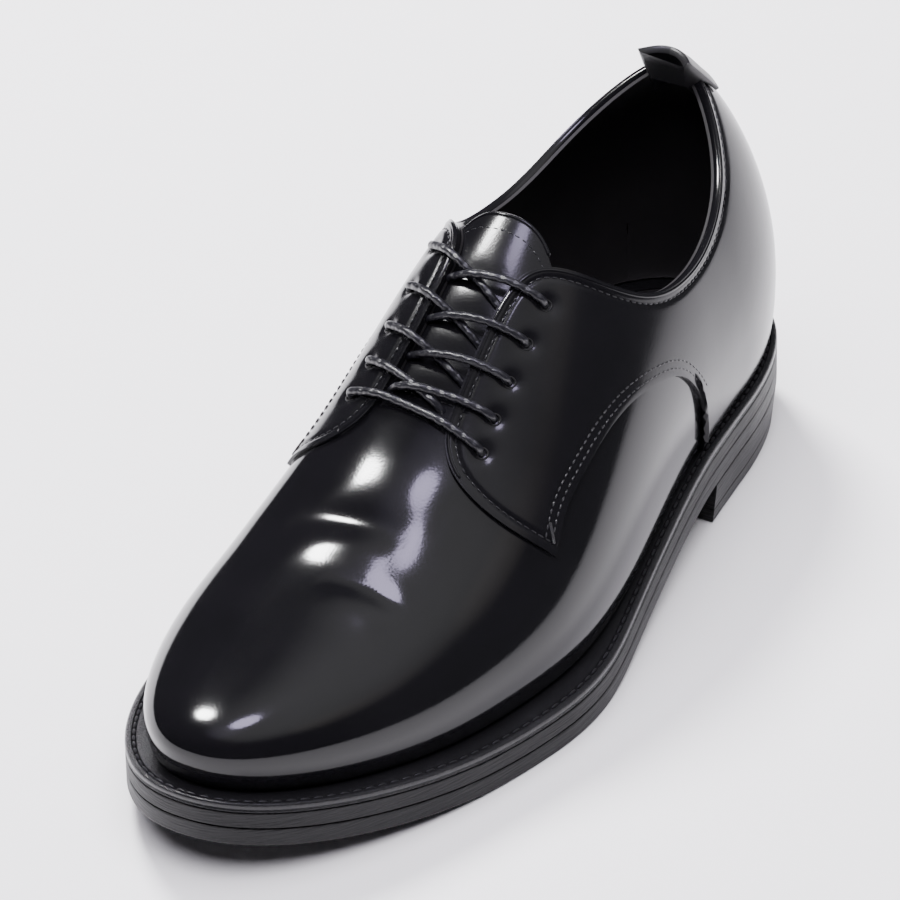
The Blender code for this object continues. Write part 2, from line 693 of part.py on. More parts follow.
def make_pull_tab():
    """Folded strip that straddles the topline at the back, with flared top corners."""
    lateral = smooth_through(LATERAL_TOPLINE, EDGE_STEP / 4)
    medial = smooth_through(MEDIAL_TOPLINE, EDGE_STEP / 4)
    reach = 30
    edge = np.concatenate([medial[-reach:-1], lateral[-reach:][::-1]])
    points = last_point(edge[:, 0], edge[:, 1])
    way = np.concatenate([[0.0], np.cumsum(np.linalg.norm(np.diff(points, axis=0), axis=1))])
    way -= way[reach - 1]
    station_at = Curve(way, edge)
    outer = QUARTER_STEP + GAP
    inner = -UPPER_WALL - 2 * GAP
    leather = TAB_LEATHER
    lean = 0.6 * TAB_LEATHER
    # Outward distance, height over the topline, share of the tab's width
    profile = (
        (outer + leather, -TAB_LEG, 1.00), (outer + leather, -0.5 * TAB_LEG, 0.94),
        (outer + leather, 0.15 * TAB_RISE, 0.90), (outer - lean, TAB_RISE, 1.10),
        (outer - lean - 2.2 * leather, TAB_RISE, 1.10), (inner - leather, 0.15 * TAB_RISE, 0.90),
        (inner - leather, -0.5 * TAB_LEG, 0.94), (inner - leather, -TAB_LEG, 1.00),
        (inner, -TAB_LEG, 1.00), (inner, -0.5 * TAB_LEG, 0.94), (inner, 2 * GAP, 0.90),
        (outer, 2 * GAP, 0.90), (outer, -0.5 * TAB_LEG, 0.94), (outer, -TAB_LEG, 1.00),
    )
    columns = 10
    vertices = []
    for side in np.linspace(-1, 1, columns + 1):
        for out, rise, width in profile:
            at = side * width * TAB_WIDTH / 2
            row, across = station_at(at)
            tangent = last_point(*station_at(at + MM)) - last_point(*station_at(at - MM))
            if rise < 0:
                row, across = slide_down(row, across, tangent, -rise)
                vertices.append(last_point(row, across) + last_normal(row, across) * out)
                continue
            normal = last_normal(row, across)
            up = np.cross(normal, tangent)
            up *= math.copysign(1.0, up[2]) / np.linalg.norm(up)
            vertices.append(last_point(row, across) + normal * out + up * rise)
    count = len(profile)
    faces = []
    for i in range(columns):
        for j in range(count):
            k = (j + 1) % count
            faces.append((i * count + j, i * count + k, (i + 1) * count + k, (i + 1) * count + j))
    # Each end is capped leg by leg, because the profile is a U
    for start, flip in ((0, True), (columns * count, False)):
        for cap in ((0, 1, 12, 13), (1, 2, 11, 12), (2, 3, 4, 5, 10, 11), (5, 6, 9, 10), (6, 7, 8, 9)):
            corners = tuple(start + c for c in cap)
            faces.append(corners[::-1] if flip else corners)
    return make_object("pull_tab", vertices, faces)


def lace_tube(name, path, sides=8):
    """Round tube along a path, closed at both ends."""
    path = np.asarray(path, float)
    tangents = np.gradient(path, axis=0)
    tangents /= np.linalg.norm(tangents, axis=1, keepdims=True)
    radius = LACE_DIAMETER / 2
    vertices = []
    for point, tangent in zip(path, tangents):
        level = np.cross(tangent, (0, 0, 1.0))
        level /= np.linalg.norm(level)
        up = np.cross(level, tangent)
        for turn in np.arange(sides) * 2 * math.pi / sides:
            vertices.append(point + radius * (math.cos(turn) * level + math.sin(turn) * up))
    faces = [tuple(range(sides)), tuple(range(len(vertices) - sides, len(vertices)))[::-1]]
    for i in range(len(path) - 1):
        for j in range(sides):
            k = (j + 1) % sides
            faces.append((i * sides + j, (i + 1) * sides + j, (i + 1) * sides + k, i * sides + k))
    return make_object(name, vertices, faces)


def strand(start, end, heights, stop=1.0, count=18):
    """Lace path on the last from one eyelet towards another, at heights over the last.

    Heights are pairs of the share of the way and the height of the lace's middle.
    """
    way = np.linspace(0, stop, count)
    flat = np.outer(1 - way, start) + np.outer(way, end)
    height = Curve(*zip(*heights))(way)
    points = last_point(flat[:, 0], flat[:, 1])
    return points + last_normal(flat[:, 0], flat[:, 1]) * height


def make_laces():
    """Straight bar below, and one joined crossing between each two rows of eyelets."""
    radius = LACE_DIAMETER / 2
    on_flap = QUARTER_STEP + GAP + radius
    on_vamp = radius + 2 * GAP
    on_tongue = on_vamp - UPPER_WALL - GAP
    flap_end = 0.30
    bar_heights = [(0.0, on_flap), (0.27, on_flap + GAP), (0.42, on_vamp + GAP),
                   (0.58, on_vamp + GAP), (0.72, on_flap + GAP), (1.0, on_flap)]
    lace_tube("lace_bar", strand(LATERAL_EYELETS[-1], MEDIAL_EYELETS[-1], bar_heights))
    overlap = 0.75 * LACE_DIAMETER
    for i in range(len(LATERAL_EYELETS) - 1):
        low = on_vamp if i == len(LATERAL_EYELETS) - 2 else on_tongue
        high = low + overlap
        start = [(0.0, on_flap), (0.15, on_flap), (flap_end, on_flap + GAP)]
        over = strand(LATERAL_EYELETS[i], MEDIAL_EYELETS[i + 1],
                      start + [(0.46, high), (0.52, high), (0.66, low + 2 * GAP)], 0.66)
        under = strand(MEDIAL_EYELETS[i], LATERAL_EYELETS[i + 1],
                       start + [(0.44, low + GAP), (0.54, low), (0.66, low)], 0.66)
        crossing = lace_tube(f"lace_crossing_{i + 1}", over)
        partner = lace_tube(f"crossing_cutter_{i + 1}", under)
        union = crossing.modifiers.new("join", "BOOLEAN")
        union.operation = "UNION"
        union.solver = "EXACT"
        union.object = partner
        partner.hide_render = True
        partner.display_type = "WIRE"


def build():
    """Every sub-part of the shoe, each as its own object, with the sole's box centred."""
    for old in list(bpy.data.objects):
        bpy.data.objects.remove(old)
    outline = sole_loop(EDGE_STEP)
    make_plate("outsole", outline, sole_bottom, OUTSOLE_THICKNESS)
    make_plate("midsole", outline, midsole_bottom, MIDSOLE_THICKNESS)
    ring_inside = inner_loop(EDGE_STEP, WELT_WIDTH_INSIDE)
    make_ring("welt", outline, ring_inside, welt_bottom, WELT_THICKNESS)
    make_plate("insole", inner_loop(EDGE_STEP, WELT_WIDTH_INSIDE + GAP), welt_bottom, WELT_THICKNESS)
    make_heel()
    make_upper()
    make_tongue()
    make_pull_tab()
    make_laces()
    middle = (outline.min(axis=0) + outline.max(axis=0)) / 2
    for piece in bpy.data.objects:
        piece.location = (-middle[0], -middle[1], 0)


build()
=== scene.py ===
"""Polished black lace-up shoe for the left foot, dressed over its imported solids.

Every leather sheet of the shoe lies on one surface, the shoe's last. A sheet starts as a
grid, is laid on the last, gets its thickness and is finished in Blender. Metres, +Z up,
toe towards -Y, outer side of the foot towards +X.
"""

import json
import logging
import math
from collections.abc import Callable, Sequence
from dataclasses import dataclass, field
from enum import Enum

import bpy
import numpy as np
from mathutils import Matrix, Vector

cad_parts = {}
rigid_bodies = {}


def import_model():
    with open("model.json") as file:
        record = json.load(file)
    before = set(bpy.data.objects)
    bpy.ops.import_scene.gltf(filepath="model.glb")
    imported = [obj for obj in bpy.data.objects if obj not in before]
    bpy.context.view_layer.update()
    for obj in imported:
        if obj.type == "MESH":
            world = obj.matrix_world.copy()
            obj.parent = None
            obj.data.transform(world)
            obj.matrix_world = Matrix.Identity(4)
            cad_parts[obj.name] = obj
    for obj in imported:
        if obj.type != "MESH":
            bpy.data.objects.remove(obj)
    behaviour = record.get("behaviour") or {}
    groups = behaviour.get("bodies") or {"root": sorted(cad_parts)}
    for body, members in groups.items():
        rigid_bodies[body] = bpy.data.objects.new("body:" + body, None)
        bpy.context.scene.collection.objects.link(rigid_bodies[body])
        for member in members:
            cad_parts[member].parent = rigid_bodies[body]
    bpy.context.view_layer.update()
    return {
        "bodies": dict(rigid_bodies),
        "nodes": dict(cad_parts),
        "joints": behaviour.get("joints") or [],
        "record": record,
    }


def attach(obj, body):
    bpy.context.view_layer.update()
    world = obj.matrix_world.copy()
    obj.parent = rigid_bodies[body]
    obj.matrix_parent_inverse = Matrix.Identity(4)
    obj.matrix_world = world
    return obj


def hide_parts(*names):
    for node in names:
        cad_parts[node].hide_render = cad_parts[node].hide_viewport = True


log = logging.getLogger("shoe")

MM = 0.001
Array = np.ndarray


def unit(vectors: Array) -> Array:
    """The same directions, one unit long."""
    return vectors / np.linalg.norm(vectors, axis=-1, keepdims=True)


def way_along(points: Array) -> Array:
    """Distance of each point from the first, along the points."""
    return np.concatenate([[0], np.cumsum(np.linalg.norm(np.diff(points, axis=0), axis=1))])


def pick(at: Array, way: Array, rows: Array) -> Array:
    """Rows of values at distances along a way, in between the given rows."""
    return np.stack([np.interp(at, way, column) for column in rows.T], -1)


class Curve:
    """Natural cubic spline through rows of values."""

    def __init__(self, knots: Sequence[float], values: Sequence) -> None:
        """Fit the spline.

        Args:
            knots: Rising positions of the rows.
            values: One number or one row of numbers for each knot.
        """
        self.knots = np.asarray(knots, float)
        rows = np.asarray(values, float)
        self.values = rows[:, None] if rows.ndim == 1 else rows
        count, step = len(self.knots), np.diff(self.knots)
        matrix, right = np.zeros((count, count)), np.zeros((count, self.values.shape[1]))
        matrix[0, 0] = matrix[-1, -1] = 1
        rise = np.diff(self.values, axis=0) / step[:, None]
        for i in range(1, count - 1):
            matrix[i, i - 1:i + 2] = step[i - 1], 2 * (step[i - 1] + step[i]), step[i]
            right[i] = 6 * (rise[i] - rise[i - 1])
        self.bend = np.linalg.solve(matrix, right)

    def __call__(self, at: Sequence[float] | float) -> Array:
        """Rows of values at the given positions."""
        at = np.asarray(at, float)
        flat = at.ravel()
        i = np.clip(np.searchsorted(self.knots, flat) - 1, 0, len(self.knots) - 2)
        step = (self.knots[i + 1] - self.knots[i])[:, None]
        a = (self.knots[i + 1] - flat)[:, None] / step
        b = (flat - self.knots[i])[:, None] / step
        out = a * self.values[i] + b * self.values[i + 1]
        out = out + ((a ** 3 - a) * self.bend[i] + (b ** 3 - b) * self.bend[i + 1]) * step ** 2 / 6
        return out.reshape(at.shape + (self.values.shape[1],))


@dataclass
class Last:
    """The shoe's last: its sizes, its sections and the rocker of the sole under it."""

    length: float = 0.293
    ball_width: float = 0.100
    instep_height: float = 0.0875
    tuck: float = 0.0028
    toe_spring: float = 0.0113
    heel_height: float = 0.0138
    outsole: float = 0.0056
    midsole: float = 0.0048
    welt: float = 0.0029
    ledge: float = 0.0066
    gap: float = 0.0003
    wall: float = 0.0020
    step: float = 0.0012
    tread_front: float = 0.285
    tread_back: float = 0.395
    breast: float = 0.728
    toe_cap: float = 0.25
    heel_cap: float = 0.81
    across: float = 0.086
    band: float = 0.2
    # Fullness of the plan at toe and heel, and the angles where its corners start
    toe_power: float = 2.20
    heel_power: float = 2.35
    toe_corner: float = 45.0
    heel_corner: float = 40.0
    crease_bow: float = 0.0016

    SECTIONS = (
        # along lateral medial  crown  lift   square taper  shift
        (0.000, 0.300, -0.385, 0.314, 0.103, 2.20, 0.00, 0.000),
        (0.120, 0.375, -0.430, 0.366, 0.109, 2.20, 0.00, -0.020),
        (0.250, 0.470, -0.455, 0.474, 0.114, 2.20, 0.00, -0.050),
        (0.360, 0.535, -0.440, 0.634, 0.126, 2.20, 0.04, -0.090),
        (0.460, 0.535, -0.410, 0.829, 0.149, 2.20, 0.08, -0.095),
        (0.580, 0.490, -0.385, 1.006, 0.183, 2.20, 0.16, -0.090),
        (0.700, 0.435, -0.360, 1.109, 0.217, 2.20, 0.36, -0.060),
        (0.810, 0.395, -0.350, 1.120, 0.240, 2.35, 0.56, -0.030),
        (0.905, 0.370, -0.355, 1.097, 0.240, 2.50, 0.66, -0.015),
        (1.000, 0.360, -0.355, 1.063, 0.229, 2.60, 0.72, 0.000),
    )
    LEDGES = (
        # along lateral medial
        (0.00, 0.82, 0.82), (0.15, 0.92, 0.92), (0.28, 1.04, 1.00), (0.38, 0.98, 0.88),
        (0.50, 0.42, 0.50), (0.60, 0.28, 0.38), (0.80, 0.27, 0.34), (1.00, 0.27, 0.27),
    )
    # Flex creases of the vamp: two ends (row, across), depth and width in metres. A
    # negative depth is the soft roll of leather that stands up beside a crease.
    CREASES = (
        ((0.340, -0.260), (0.352, 0.250), 0.0006, 0.0044),
        ((0.318, -0.200), (0.334, 0.240), -0.0006, 0.0062),
        ((0.296, 0.020), (0.300, 0.400), 0.0007, 0.0034),
        ((0.278, 0.040), (0.282, 0.380), -0.0004, 0.0058),
        ((0.372, -0.200), (0.384, 0.300), -0.0005, 0.0075),
    )

    def __post_init__(self) -> None:
        """Work out the splines and the way over the ridge."""
        scale = np.array([self.ball_width] * 2 + [self.instep_height] * 2 + [1, 1, self.ball_width])
        rows = np.array(self.SECTIONS)
        self.sections = Curve(self.y(rows[:, 0]), rows[:, 1:] * scale)
        rows = np.array(self.LEDGES)
        self.ledges = Curve(self.y(rows[:, 0]), rows[:, 1:] * self.ledge)
        self.toe_span = self.toe_cap * self.length * math.pi / 2
        self.heel_start = self.toe_span + (self.heel_cap - self.toe_cap) * self.length
        self.ridge = self.heel_start + (1 - self.heel_cap) * self.length * math.pi / 2
        self.middle = np.zeros(3)
        loop = self.sole_loop()
        self.middle = (loop.min(axis=0) + loop.max(axis=0)) / 2 * (1, 1, 0)

    def y(self, share: Sequence[float] | float) -> Array:
        """Lengthwise place of a share of the last, before the sole is centred."""
        return (np.asarray(share, float) - 0.5) * self.length

    def tread(self, y: Array) -> Array:
        """Height of the outsole's underside at y."""
        front, back = self.y(self.tread_front), self.y(self.tread_back)
        forward = np.clip((front - y) / (front - self.y(0.0)), 0, None)
        rise = np.clip((y - back) / (self.y(self.breast) - back), 0, 1)
        return self.toe_spring * forward ** 1.8 + self.heel_height * rise ** 2 * (3 - 2 * rise)

    def feather(self, y: Array) -> Array:
        """Height of the upper's lower edge at y."""
        return self.tread(y) + self.outsole + self.midsole + self.welt + 3 * self.gap

    def bare_point(self, row: Array, across: Array) -> Array:
        """Point of the last above its widest line.

        Args:
            row: Share of the way over the ridge from the toe to the back of the heel.
            across: From -1 at the inner side over the ridge to +1 at the outer side.

        Returns:
            Array of points.
        """
        row, across = np.broadcast_arrays(np.asarray(row, float), np.asarray(across, float))
        reach = row * self.ridge
        toe, heel = reach < self.toe_span, reach > self.heel_start
        turn = np.where(toe, reach / self.toe_span, 1.0)
        turn = np.where(heel, (self.ridge - reach) / (self.ridge - self.heel_start), turn)
        foot = np.radians(np.where(heel, self.heel_corner, self.toe_corner))
        quick = ((math.pi / 2) / (math.pi / 2 - foot) - 1) / 2
        plan = foot + (math.pi / 2 - foot) * ((1 - quick) * turn + quick * turn ** 3)
        tilt = turn * math.pi / 2
        foot_y = np.cos(plan)
        chord_y, chord_z = np.cos(tilt) - foot_y, np.sin(tilt)
        chord = np.hypot(chord_y, chord_z)
        chord_y, chord_z = chord_y / chord, chord_z / chord
        back = -foot_y * chord_y
        centre_y, centre_z = foot_y + back * chord_y, back * chord_z
        radius = np.sqrt(1 - centre_y ** 2 - centre_z ** 2)
        start = np.arctan2(-back, np.sin(plan))
        angle = math.pi / 2 - across * (math.pi / 2 - start)
        side = radius * np.cos(angle)
        forward = centre_y + radius * np.sin(angle) * chord_y
        up = centre_z + radius * np.sin(angle) * chord_z
        body_y = self.y(self.toe_cap) + reach - self.toe_span
        toe_y, heel_y = self.y(self.toe_cap), self.y(self.heel_cap)
        toe_reach, heel_reach = self.toe_cap * self.length, (1 - self.heel_cap) * self.length
        near = np.where(toe, toe_y - 0.8 * toe_reach * forward, body_y)
        near = np.where(heel, heel_y + 0.8 * heel_reach * forward, near)
        square = self.sections(near)[..., 4]
        power = np.where(heel, self.heel_power, self.toe_power)
        flat = np.abs(side) ** power + np.abs(forward) ** power
        size = (flat ** (square / power) + np.abs(up) ** square) ** (-1 / square)
        side, forward, up = side * size, forward * size, up * size
        y = np.where(toe, toe_y - toe_reach * forward, body_y)
        y = np.where(heel, heel_y + heel_reach * forward, y)
        lateral, medial, crown, lift, _, taper, shift = np.moveaxis(self.sections(y), -1, 0)
        half = (lateral - medial) / 2
        x = (lateral + medial) / 2 + half * side * (1 - taper * up ** 2) + shift * up ** 2
        z = self.feather(y) + lift + (crown - lift) * up
        return np.stack([x, y, z], -1) - self.middle

    def bare_normal(self, row: Array, across: Array) -> Array:
        """Outward unit normal of the last above its widest line."""
        small = 1e-3
        row = np.clip(row, 2 * small, 1 - 2 * small)
        across = np.clip(across, -1 + 2 * small, 1 - 2 * small)
        along = self.bare_point(row + small, across) - self.bare_point(row - small, across)
        over = self.bare_point(row, across + small) - self.bare_point(row, across - small)
        return unit(np.cross(over, along))

    def relief(self, row: Array, across: Array) -> Array:
        """How far the flexed vamp stands off the last, from its creases."""
        row, across = np.broadcast_arrays(row, across)
        out = np.zeros(row.shape)
        flat = np.stack([row * self.ridge, across * self.across], -1)
        for start, end, depth, width in self.CREASES:
            a, b = np.array([start, end]) * (self.ridge, self.across)
            way, length = unit(b - a), np.linalg.norm(b - a)
            share = ((flat - a) @ way) / length
            arch = np.clip(4 * share * (1 - share), 0, 1)
            off = (flat - a) @ np.array([-way[1], way[0]]) + self.crease_bow * arch
            out -= depth * arch ** 0.8 * np.exp(-(off / width) ** 2)
        return out

    def skin(self, row: Array, across: Array, level: Array | float = 0.0) -> Array:
        """Point at a level over the last, which past its edge goes down to the sole.

        Args:
            row: Share of the way over the ridge; past 0 or 1 it goes down the end.
            across: Share of the way across; past -1 or 1 it goes down the side.
            level: Height over the last, in metres.

        Returns:
            Array of points.
        """
        row, across = np.broadcast_arrays(np.asarray(row, float), np.asarray(across, float))
        base_row, base_across = np.clip(row, 0, 1), np.clip(across, -1, 1)
        past = np.maximum(np.abs(row - base_row) * 5, np.abs(across - base_across)) / self.band
        angle = np.clip(past, 0, 1) * math.pi / 2
        point = self.bare_point(base_row, base_across)
        normal = self.bare_normal(base_row, base_across)
        flat = normal * (1, 1, 0)
        flat = flat / np.maximum(np.linalg.norm(flat, axis=-1, keepdims=True), 1e-9)
        normal = np.where((past > 0)[..., None], flat, normal)
        low = point - flat * (self.tuck * (1 - np.cos(angle)))[..., None]
        edge = self.feather(low[..., 1] + self.middle[1])
        low[..., 2] = point[..., 2] + (edge - point[..., 2]) * np.sin(angle)
        lift = np.asarray(level) + self.relief(row, across)
        return low + normal * np.broadcast_to(lift, row.shape)[..., None]

    def spot(self, row: float, across: float, level: float = 0.0) -> Array:
        """One point at a level over the last."""
        return self.skin(np.array([row]), np.array([across]), level)[0]

    def settle(self, points: Array, height: Array | float) -> Array:
        """The same points in plan, at a height over the outsole's underside."""
        up = self.tread(points[:, 1] + self.middle[1]) + height
        return np.column_stack([points[:, :2], up])

    def outline(self, count: int = 360) -> tuple[Array, Array]:
        """Widest line of the last as a closed loop from the toe tip, with its normals.

        Args:
            count: Number of points.

        Returns:
            Points and their outward normals in plan.
        """
        rows, ends = np.linspace(0, 1, 400), np.linspace(1, -1, 160)
        lateral = self.bare_point(rows, np.ones(400))
        heel = self.bare_point(np.ones(160), ends)
        medial = self.bare_point(rows[::-1], -np.ones(400))
        toe = self.bare_point(np.zeros(160), ends[::-1])
        loop = np.concatenate([toe[80:], lateral[1:], heel[1:], medial[1:], toe[1:81]])
        way = way_along(loop)
        points = pick(np.linspace(0, way[-1], count, endpoint=False), way, loop)
        tangent = np.roll(points, -2, axis=0) - np.roll(points, 2, axis=0)
        return points, unit(np.stack([tangent[:, 1], -tangent[:, 0], 0 * tangent[:, 0]], -1))

    def sole_loop(self, inset: float = 0.0, count: int = 360) -> Array:
        """Closed loop of the sole's outline, from the toe tip along the outer side."""
        points, normals = self.outline(count)
        y = points[:, 1] + self.middle[1]
        middle = self.sections(y)[:, :2].mean(axis=1)
        share = np.clip((points[:, 0] + self.middle[0] - middle) / (0.2 * self.ball_width), -1, 1)
        ledge = self.ledges(y)
        out = ledge[:, 0] * (1 + share) / 2 + ledge[:, 1] * (1 - share) / 2
        return points + normals * (out - inset)[:, None]

    def inner_loop(self, inset: float, count: int = 360) -> Array:
        """Closed loop inside the upper's lower edge."""
        points, normals = self.outline(count)
        return points - normals * (self.tuck + inset)


LAST = Last()


def linear(code: str) -> tuple[float, float, float, float]:
    """Linear colour of an sRGB hex value such as "#101012"."""
    parts = [int(code[i:i + 2], 16) / 255 for i in (1, 3, 5)]
    return (*(p / 12.92 if p <= 0.04045 else ((p + 0.055) / 1.055) ** 2.4 for p in parts), 1.0)


def add_node(tree: bpy.types.NodeTree, kind: str, how: dict | None = None,
             values: dict | None = None, links: dict | None = None) -> bpy.types.Node:
    """Add one shader node.

    Args:
        tree: Node tree that gets it.
        kind: Blender's name of the node's type.
        how: The node's own settings.
        values: Numbers for its sockets, by name or place.
        links: Output sockets that feed its sockets, by name or place.

    Returns:
        The new node.
    """
    made = tree.nodes.new(kind)
    for key, value in (how or {}).items():
        setattr(made, key, value)
    for key, value in (values or {}).items():
        made.inputs[key].default_value = value
    for key, socket in (links or {}).items():
        tree.links.new(socket, made.inputs[key])
    return made


def noise(tree: bpy.types.NodeTree, place: bpy.types.NodeSocket, scale: float, detail: float,
          roughness: float) -> bpy.types.NodeSocket:
    """Value of a noise texture, from 0 to 1, at a place."""
    made = add_node(tree, "ShaderNodeTexNoise", None,
                    {"Scale": scale, "Detail": detail, "Roughness": roughness}, {"Vector": place})
    return made.outputs["Fac"]


class Pattern(Enum):
    """What covers a finish closely."""

    PORES = "pores"
    BRAID = "braid"
    LINES = "lines"
    NAP = "nap"


@dataclass(frozen=True)
class Finish:
    """One real material: its colour, its gloss and the small relief on it."""

    name: str
    colour: str
    worn: str
    roughness: float
    spread: float
    pattern: Pattern
    size_mm: float
    depth_mm: float
    coat: float = 0.0
    coat_roughness: float = 0.06
    sway_mm: float = 0.0
    ior: float = 1.45

    # Wave texture scale at which one band is one unit wide on the diagonal
    PERIOD = 2 * math.pi / 20
    # Worn patches in a metre, and the length in millimetres of the leather's slow sway
    PATCHES = 55.0
    SWAY_LENGTH_MM = 26.0

    def height(self, tree: bpy.types.NodeTree, place: bpy.types.NodeSocket) -> bpy.types.NodeSocket:
        """Height of the small relief, from 0 to 1."""
        scale = 1000 / self.size_mm
        if self.pattern is Pattern.PORES:
            cells = add_node(tree, "ShaderNodeTexVoronoi", {"feature": "SMOOTH_F1"},
                             {"Scale": scale, "Smoothness": 0.6}, {"Vector": place})
            return cells.outputs["Distance"]
        if self.pattern is Pattern.LINES:
            stretched = add_node(tree, "ShaderNodeMapping", None, {"Scale": (0.06, 0.06, 1.0)},
                                 {"Vector": place})
            return noise(tree, stretched.outputs[0], scale, 3.0, 0.6)
        if self.pattern is Pattern.BRAID:
            uv = add_node(tree, "ShaderNodeTexCoord").outputs["UV"]
            heights = []
            for turn in (1, -1):
                turned = add_node(tree, "ShaderNodeMapping", None, {"Scale": (1.0, turn, 0.0)},
                                  {"Vector": uv})
                band = add_node(tree, "ShaderNodeTexWave",
                                {"wave_type": "BANDS", "bands_direction": "DIAGONAL"},
                                {"Scale": self.PERIOD, "Distortion": 0.0},
                                {"Vector": turned.outputs[0]})
                heights.append(band.outputs["Fac"])
            both = add_node(tree, "ShaderNodeMath", {"operation": "MAXIMUM"}, None,
                            {0: heights[0], 1: heights[1]})
            return both.outputs[0]
        return noise(tree, place, scale, 6.0, 0.7)

    def bump(self, tree: bpy.types.NodeTree, height: bpy.types.NodeSocket, depth_mm: float,
             **links: bpy.types.NodeSocket) -> bpy.types.NodeSocket:
        """Normal of a relief this many millimetres deep."""
        return add_node(tree, "ShaderNodeBump", None, {"Distance": depth_mm * MM, "Strength": 1.0},
                        {"Height": height, **links}).outputs[0]

    def material(self) -> bpy.types.Material:
        """Blender material of the finish, made once."""
        made = bpy.data.materials.get(self.name)
        if made:
            return made
        made = bpy.data.materials.new(self.name)
        made.use_nodes = True
        tree = made.node_tree
        shader = tree.nodes["Principled BSDF"]
        place = add_node(tree, "ShaderNodeTexCoord").outputs["Object"]
        patches = noise(tree, place, self.PATCHES, 4.0, 0.55)
        tint = add_node(tree, "ShaderNodeMix", {"data_type": "RGBA"},
                        {6: linear(self.colour), 7: linear(self.worn)}, {0: patches})
        tree.links.new(tint.outputs[2], shader.inputs["Base Color"])
        gloss = add_node(tree, "ShaderNodeMapRange", None,
                         {"To Min": self.roughness - self.spread,
                          "To Max": self.roughness + self.spread},
                         {"Value": patches})
        tree.links.new(gloss.outputs[0], shader.inputs["Roughness"])
        normal = self.bump(tree, self.height(tree, place), self.depth_mm)
        if self.sway_mm:
            sway = noise(tree, place, 1000 / self.SWAY_LENGTH_MM, 2.0, 0.4)
            normal = self.bump(tree, sway, self.sway_mm, Normal=normal)
        tree.links.new(normal, shader.inputs["Normal"])
        shader.inputs["Coat Weight"].default_value = self.coat
        shader.inputs["Coat Roughness"].default_value = self.coat_roughness
        shader.inputs["IOR"].default_value = self.ior
        return made


# Box calf, waxed and brushed to a mirror: near black, sharp lights, very fine pores
POLISHED_CALF = Finish("polished_box_calf", "#0c0c0e", "#121114", 0.19, 0.04, Pattern.PORES,
                       0.7, 0.012, coat=0.08, coat_roughness=0.06, sway_mm=0.20, ior=1.30)
# The same calf on the vamp, stretched tight over the last and polished most
TOE_CALF = Finish("mirror_polished_box_calf", "#0a0a0c", "#100f12", 0.11, 0.03, Pattern.PORES,
                  0.7, 0.008, coat=0.14, coat_roughness=0.04, sway_mm=0.11, ior=1.34)
# Vegetable-tanned lining leather: dull and slightly fibrous
LINING_CALF = Finish("dull_lining_leather", "#1f1e20", "#2b292b", 0.60, 0.08, Pattern.NAP,
                     0.5, 0.03)
# Cut and inked leather edge: darker than the face and matt
INKED_EDGE = Finish("inked_leather_edge", "#0a0a0b", "#141314", 0.42, 0.08, Pattern.NAP, 0.3, 0.02)
# Grosgrain-backed strap leather of the pull tab: soft shine
STRAP_LEATHER = Finish("soft_strap_leather", "#101012", "#1a191b", 0.40, 0.06, Pattern.NAP,
                       0.6, 0.03, coat=0.1, coat_roughness=0.3)
# Moulded welt with a satin skin that catches the light on its ribs
WELT_PVC = Finish("satin_moulded_welt", "#111113", "#1d1c1f", 0.22, 0.06, Pattern.NAP, 0.8, 0.22)
# Cut microcellular rubber: matt, with the fine lines that the trimming cutter leaves
CUT_RUBBER = Finish("cut_microcellular_rubber", "#0c0c0d", "#19181a", 0.50, 0.10, Pattern.LINES,
                    0.8, 0.45, ior=1.35)
# Moulded outsole rubber: a little harder and smoother than the layer above it
SOLE_RUBBER = Finish("moulded_sole_rubber", "#0b0b0c", "#171618", 0.48, 0.10, Pattern.LINES,
                     0.9, 0.40, ior=1.35)
# Waxed cotton lace: round braid with a dull wax shine
WAXED_LACE = Finish("waxed_cotton_braid", "#0f0f13", "#1b1a20", 0.38, 0.05, Pattern.BRAID,
                    1.0, 0.30, coat=0.35, coat_roughness=0.28)
# Bonded nylon thread: smooth and slightly shiny
NYLON_THREAD = Finish("bonded_nylon_thread", "#161618", "#242327", 0.34, 0.04, Pattern.NAP,
                      0.3, 0.02)
# Matt paper backdrop, near white and faintly lavender
PAPER = Finish("matt_paper_backdrop", "#f1eff3", "#f4f2f5", 0.85, 0.02, Pattern.NAP, 1.5, 0.02)


def deselect() -> None:
    """Leave nothing selected, in object mode."""
    if bpy.context.mode != "OBJECT":
        bpy.ops.object.mode_set(mode="OBJECT")
    bpy.ops.object.select_all(action="DESELECT")


def activate(piece: bpy.types.Object) -> None:
    """Select one object alone."""
    deselect()
    piece.select_set(True)
    bpy.context.view_layer.objects.active = piece


def faces_inward(piece: bpy.types.Object) -> bool:
    """Whether most of a sheet's area faces the shoe's lengthwise core."""
    facing = 0.0
    for face in piece.data.polygons:
        core = Vector((-0.003, min(max(face.center.y, -0.11), 0.11), 0.035))
        facing += face.normal.dot(face.center - core) * face.area
    return facing < 0


def link(name: str, data: bpy.types.ID) -> bpy.types.Object:
    """New object with this data, in the scene."""
    made = bpy.data.objects.new(name, data)
    bpy.context.scene.collection.objects.link(made)
    return made


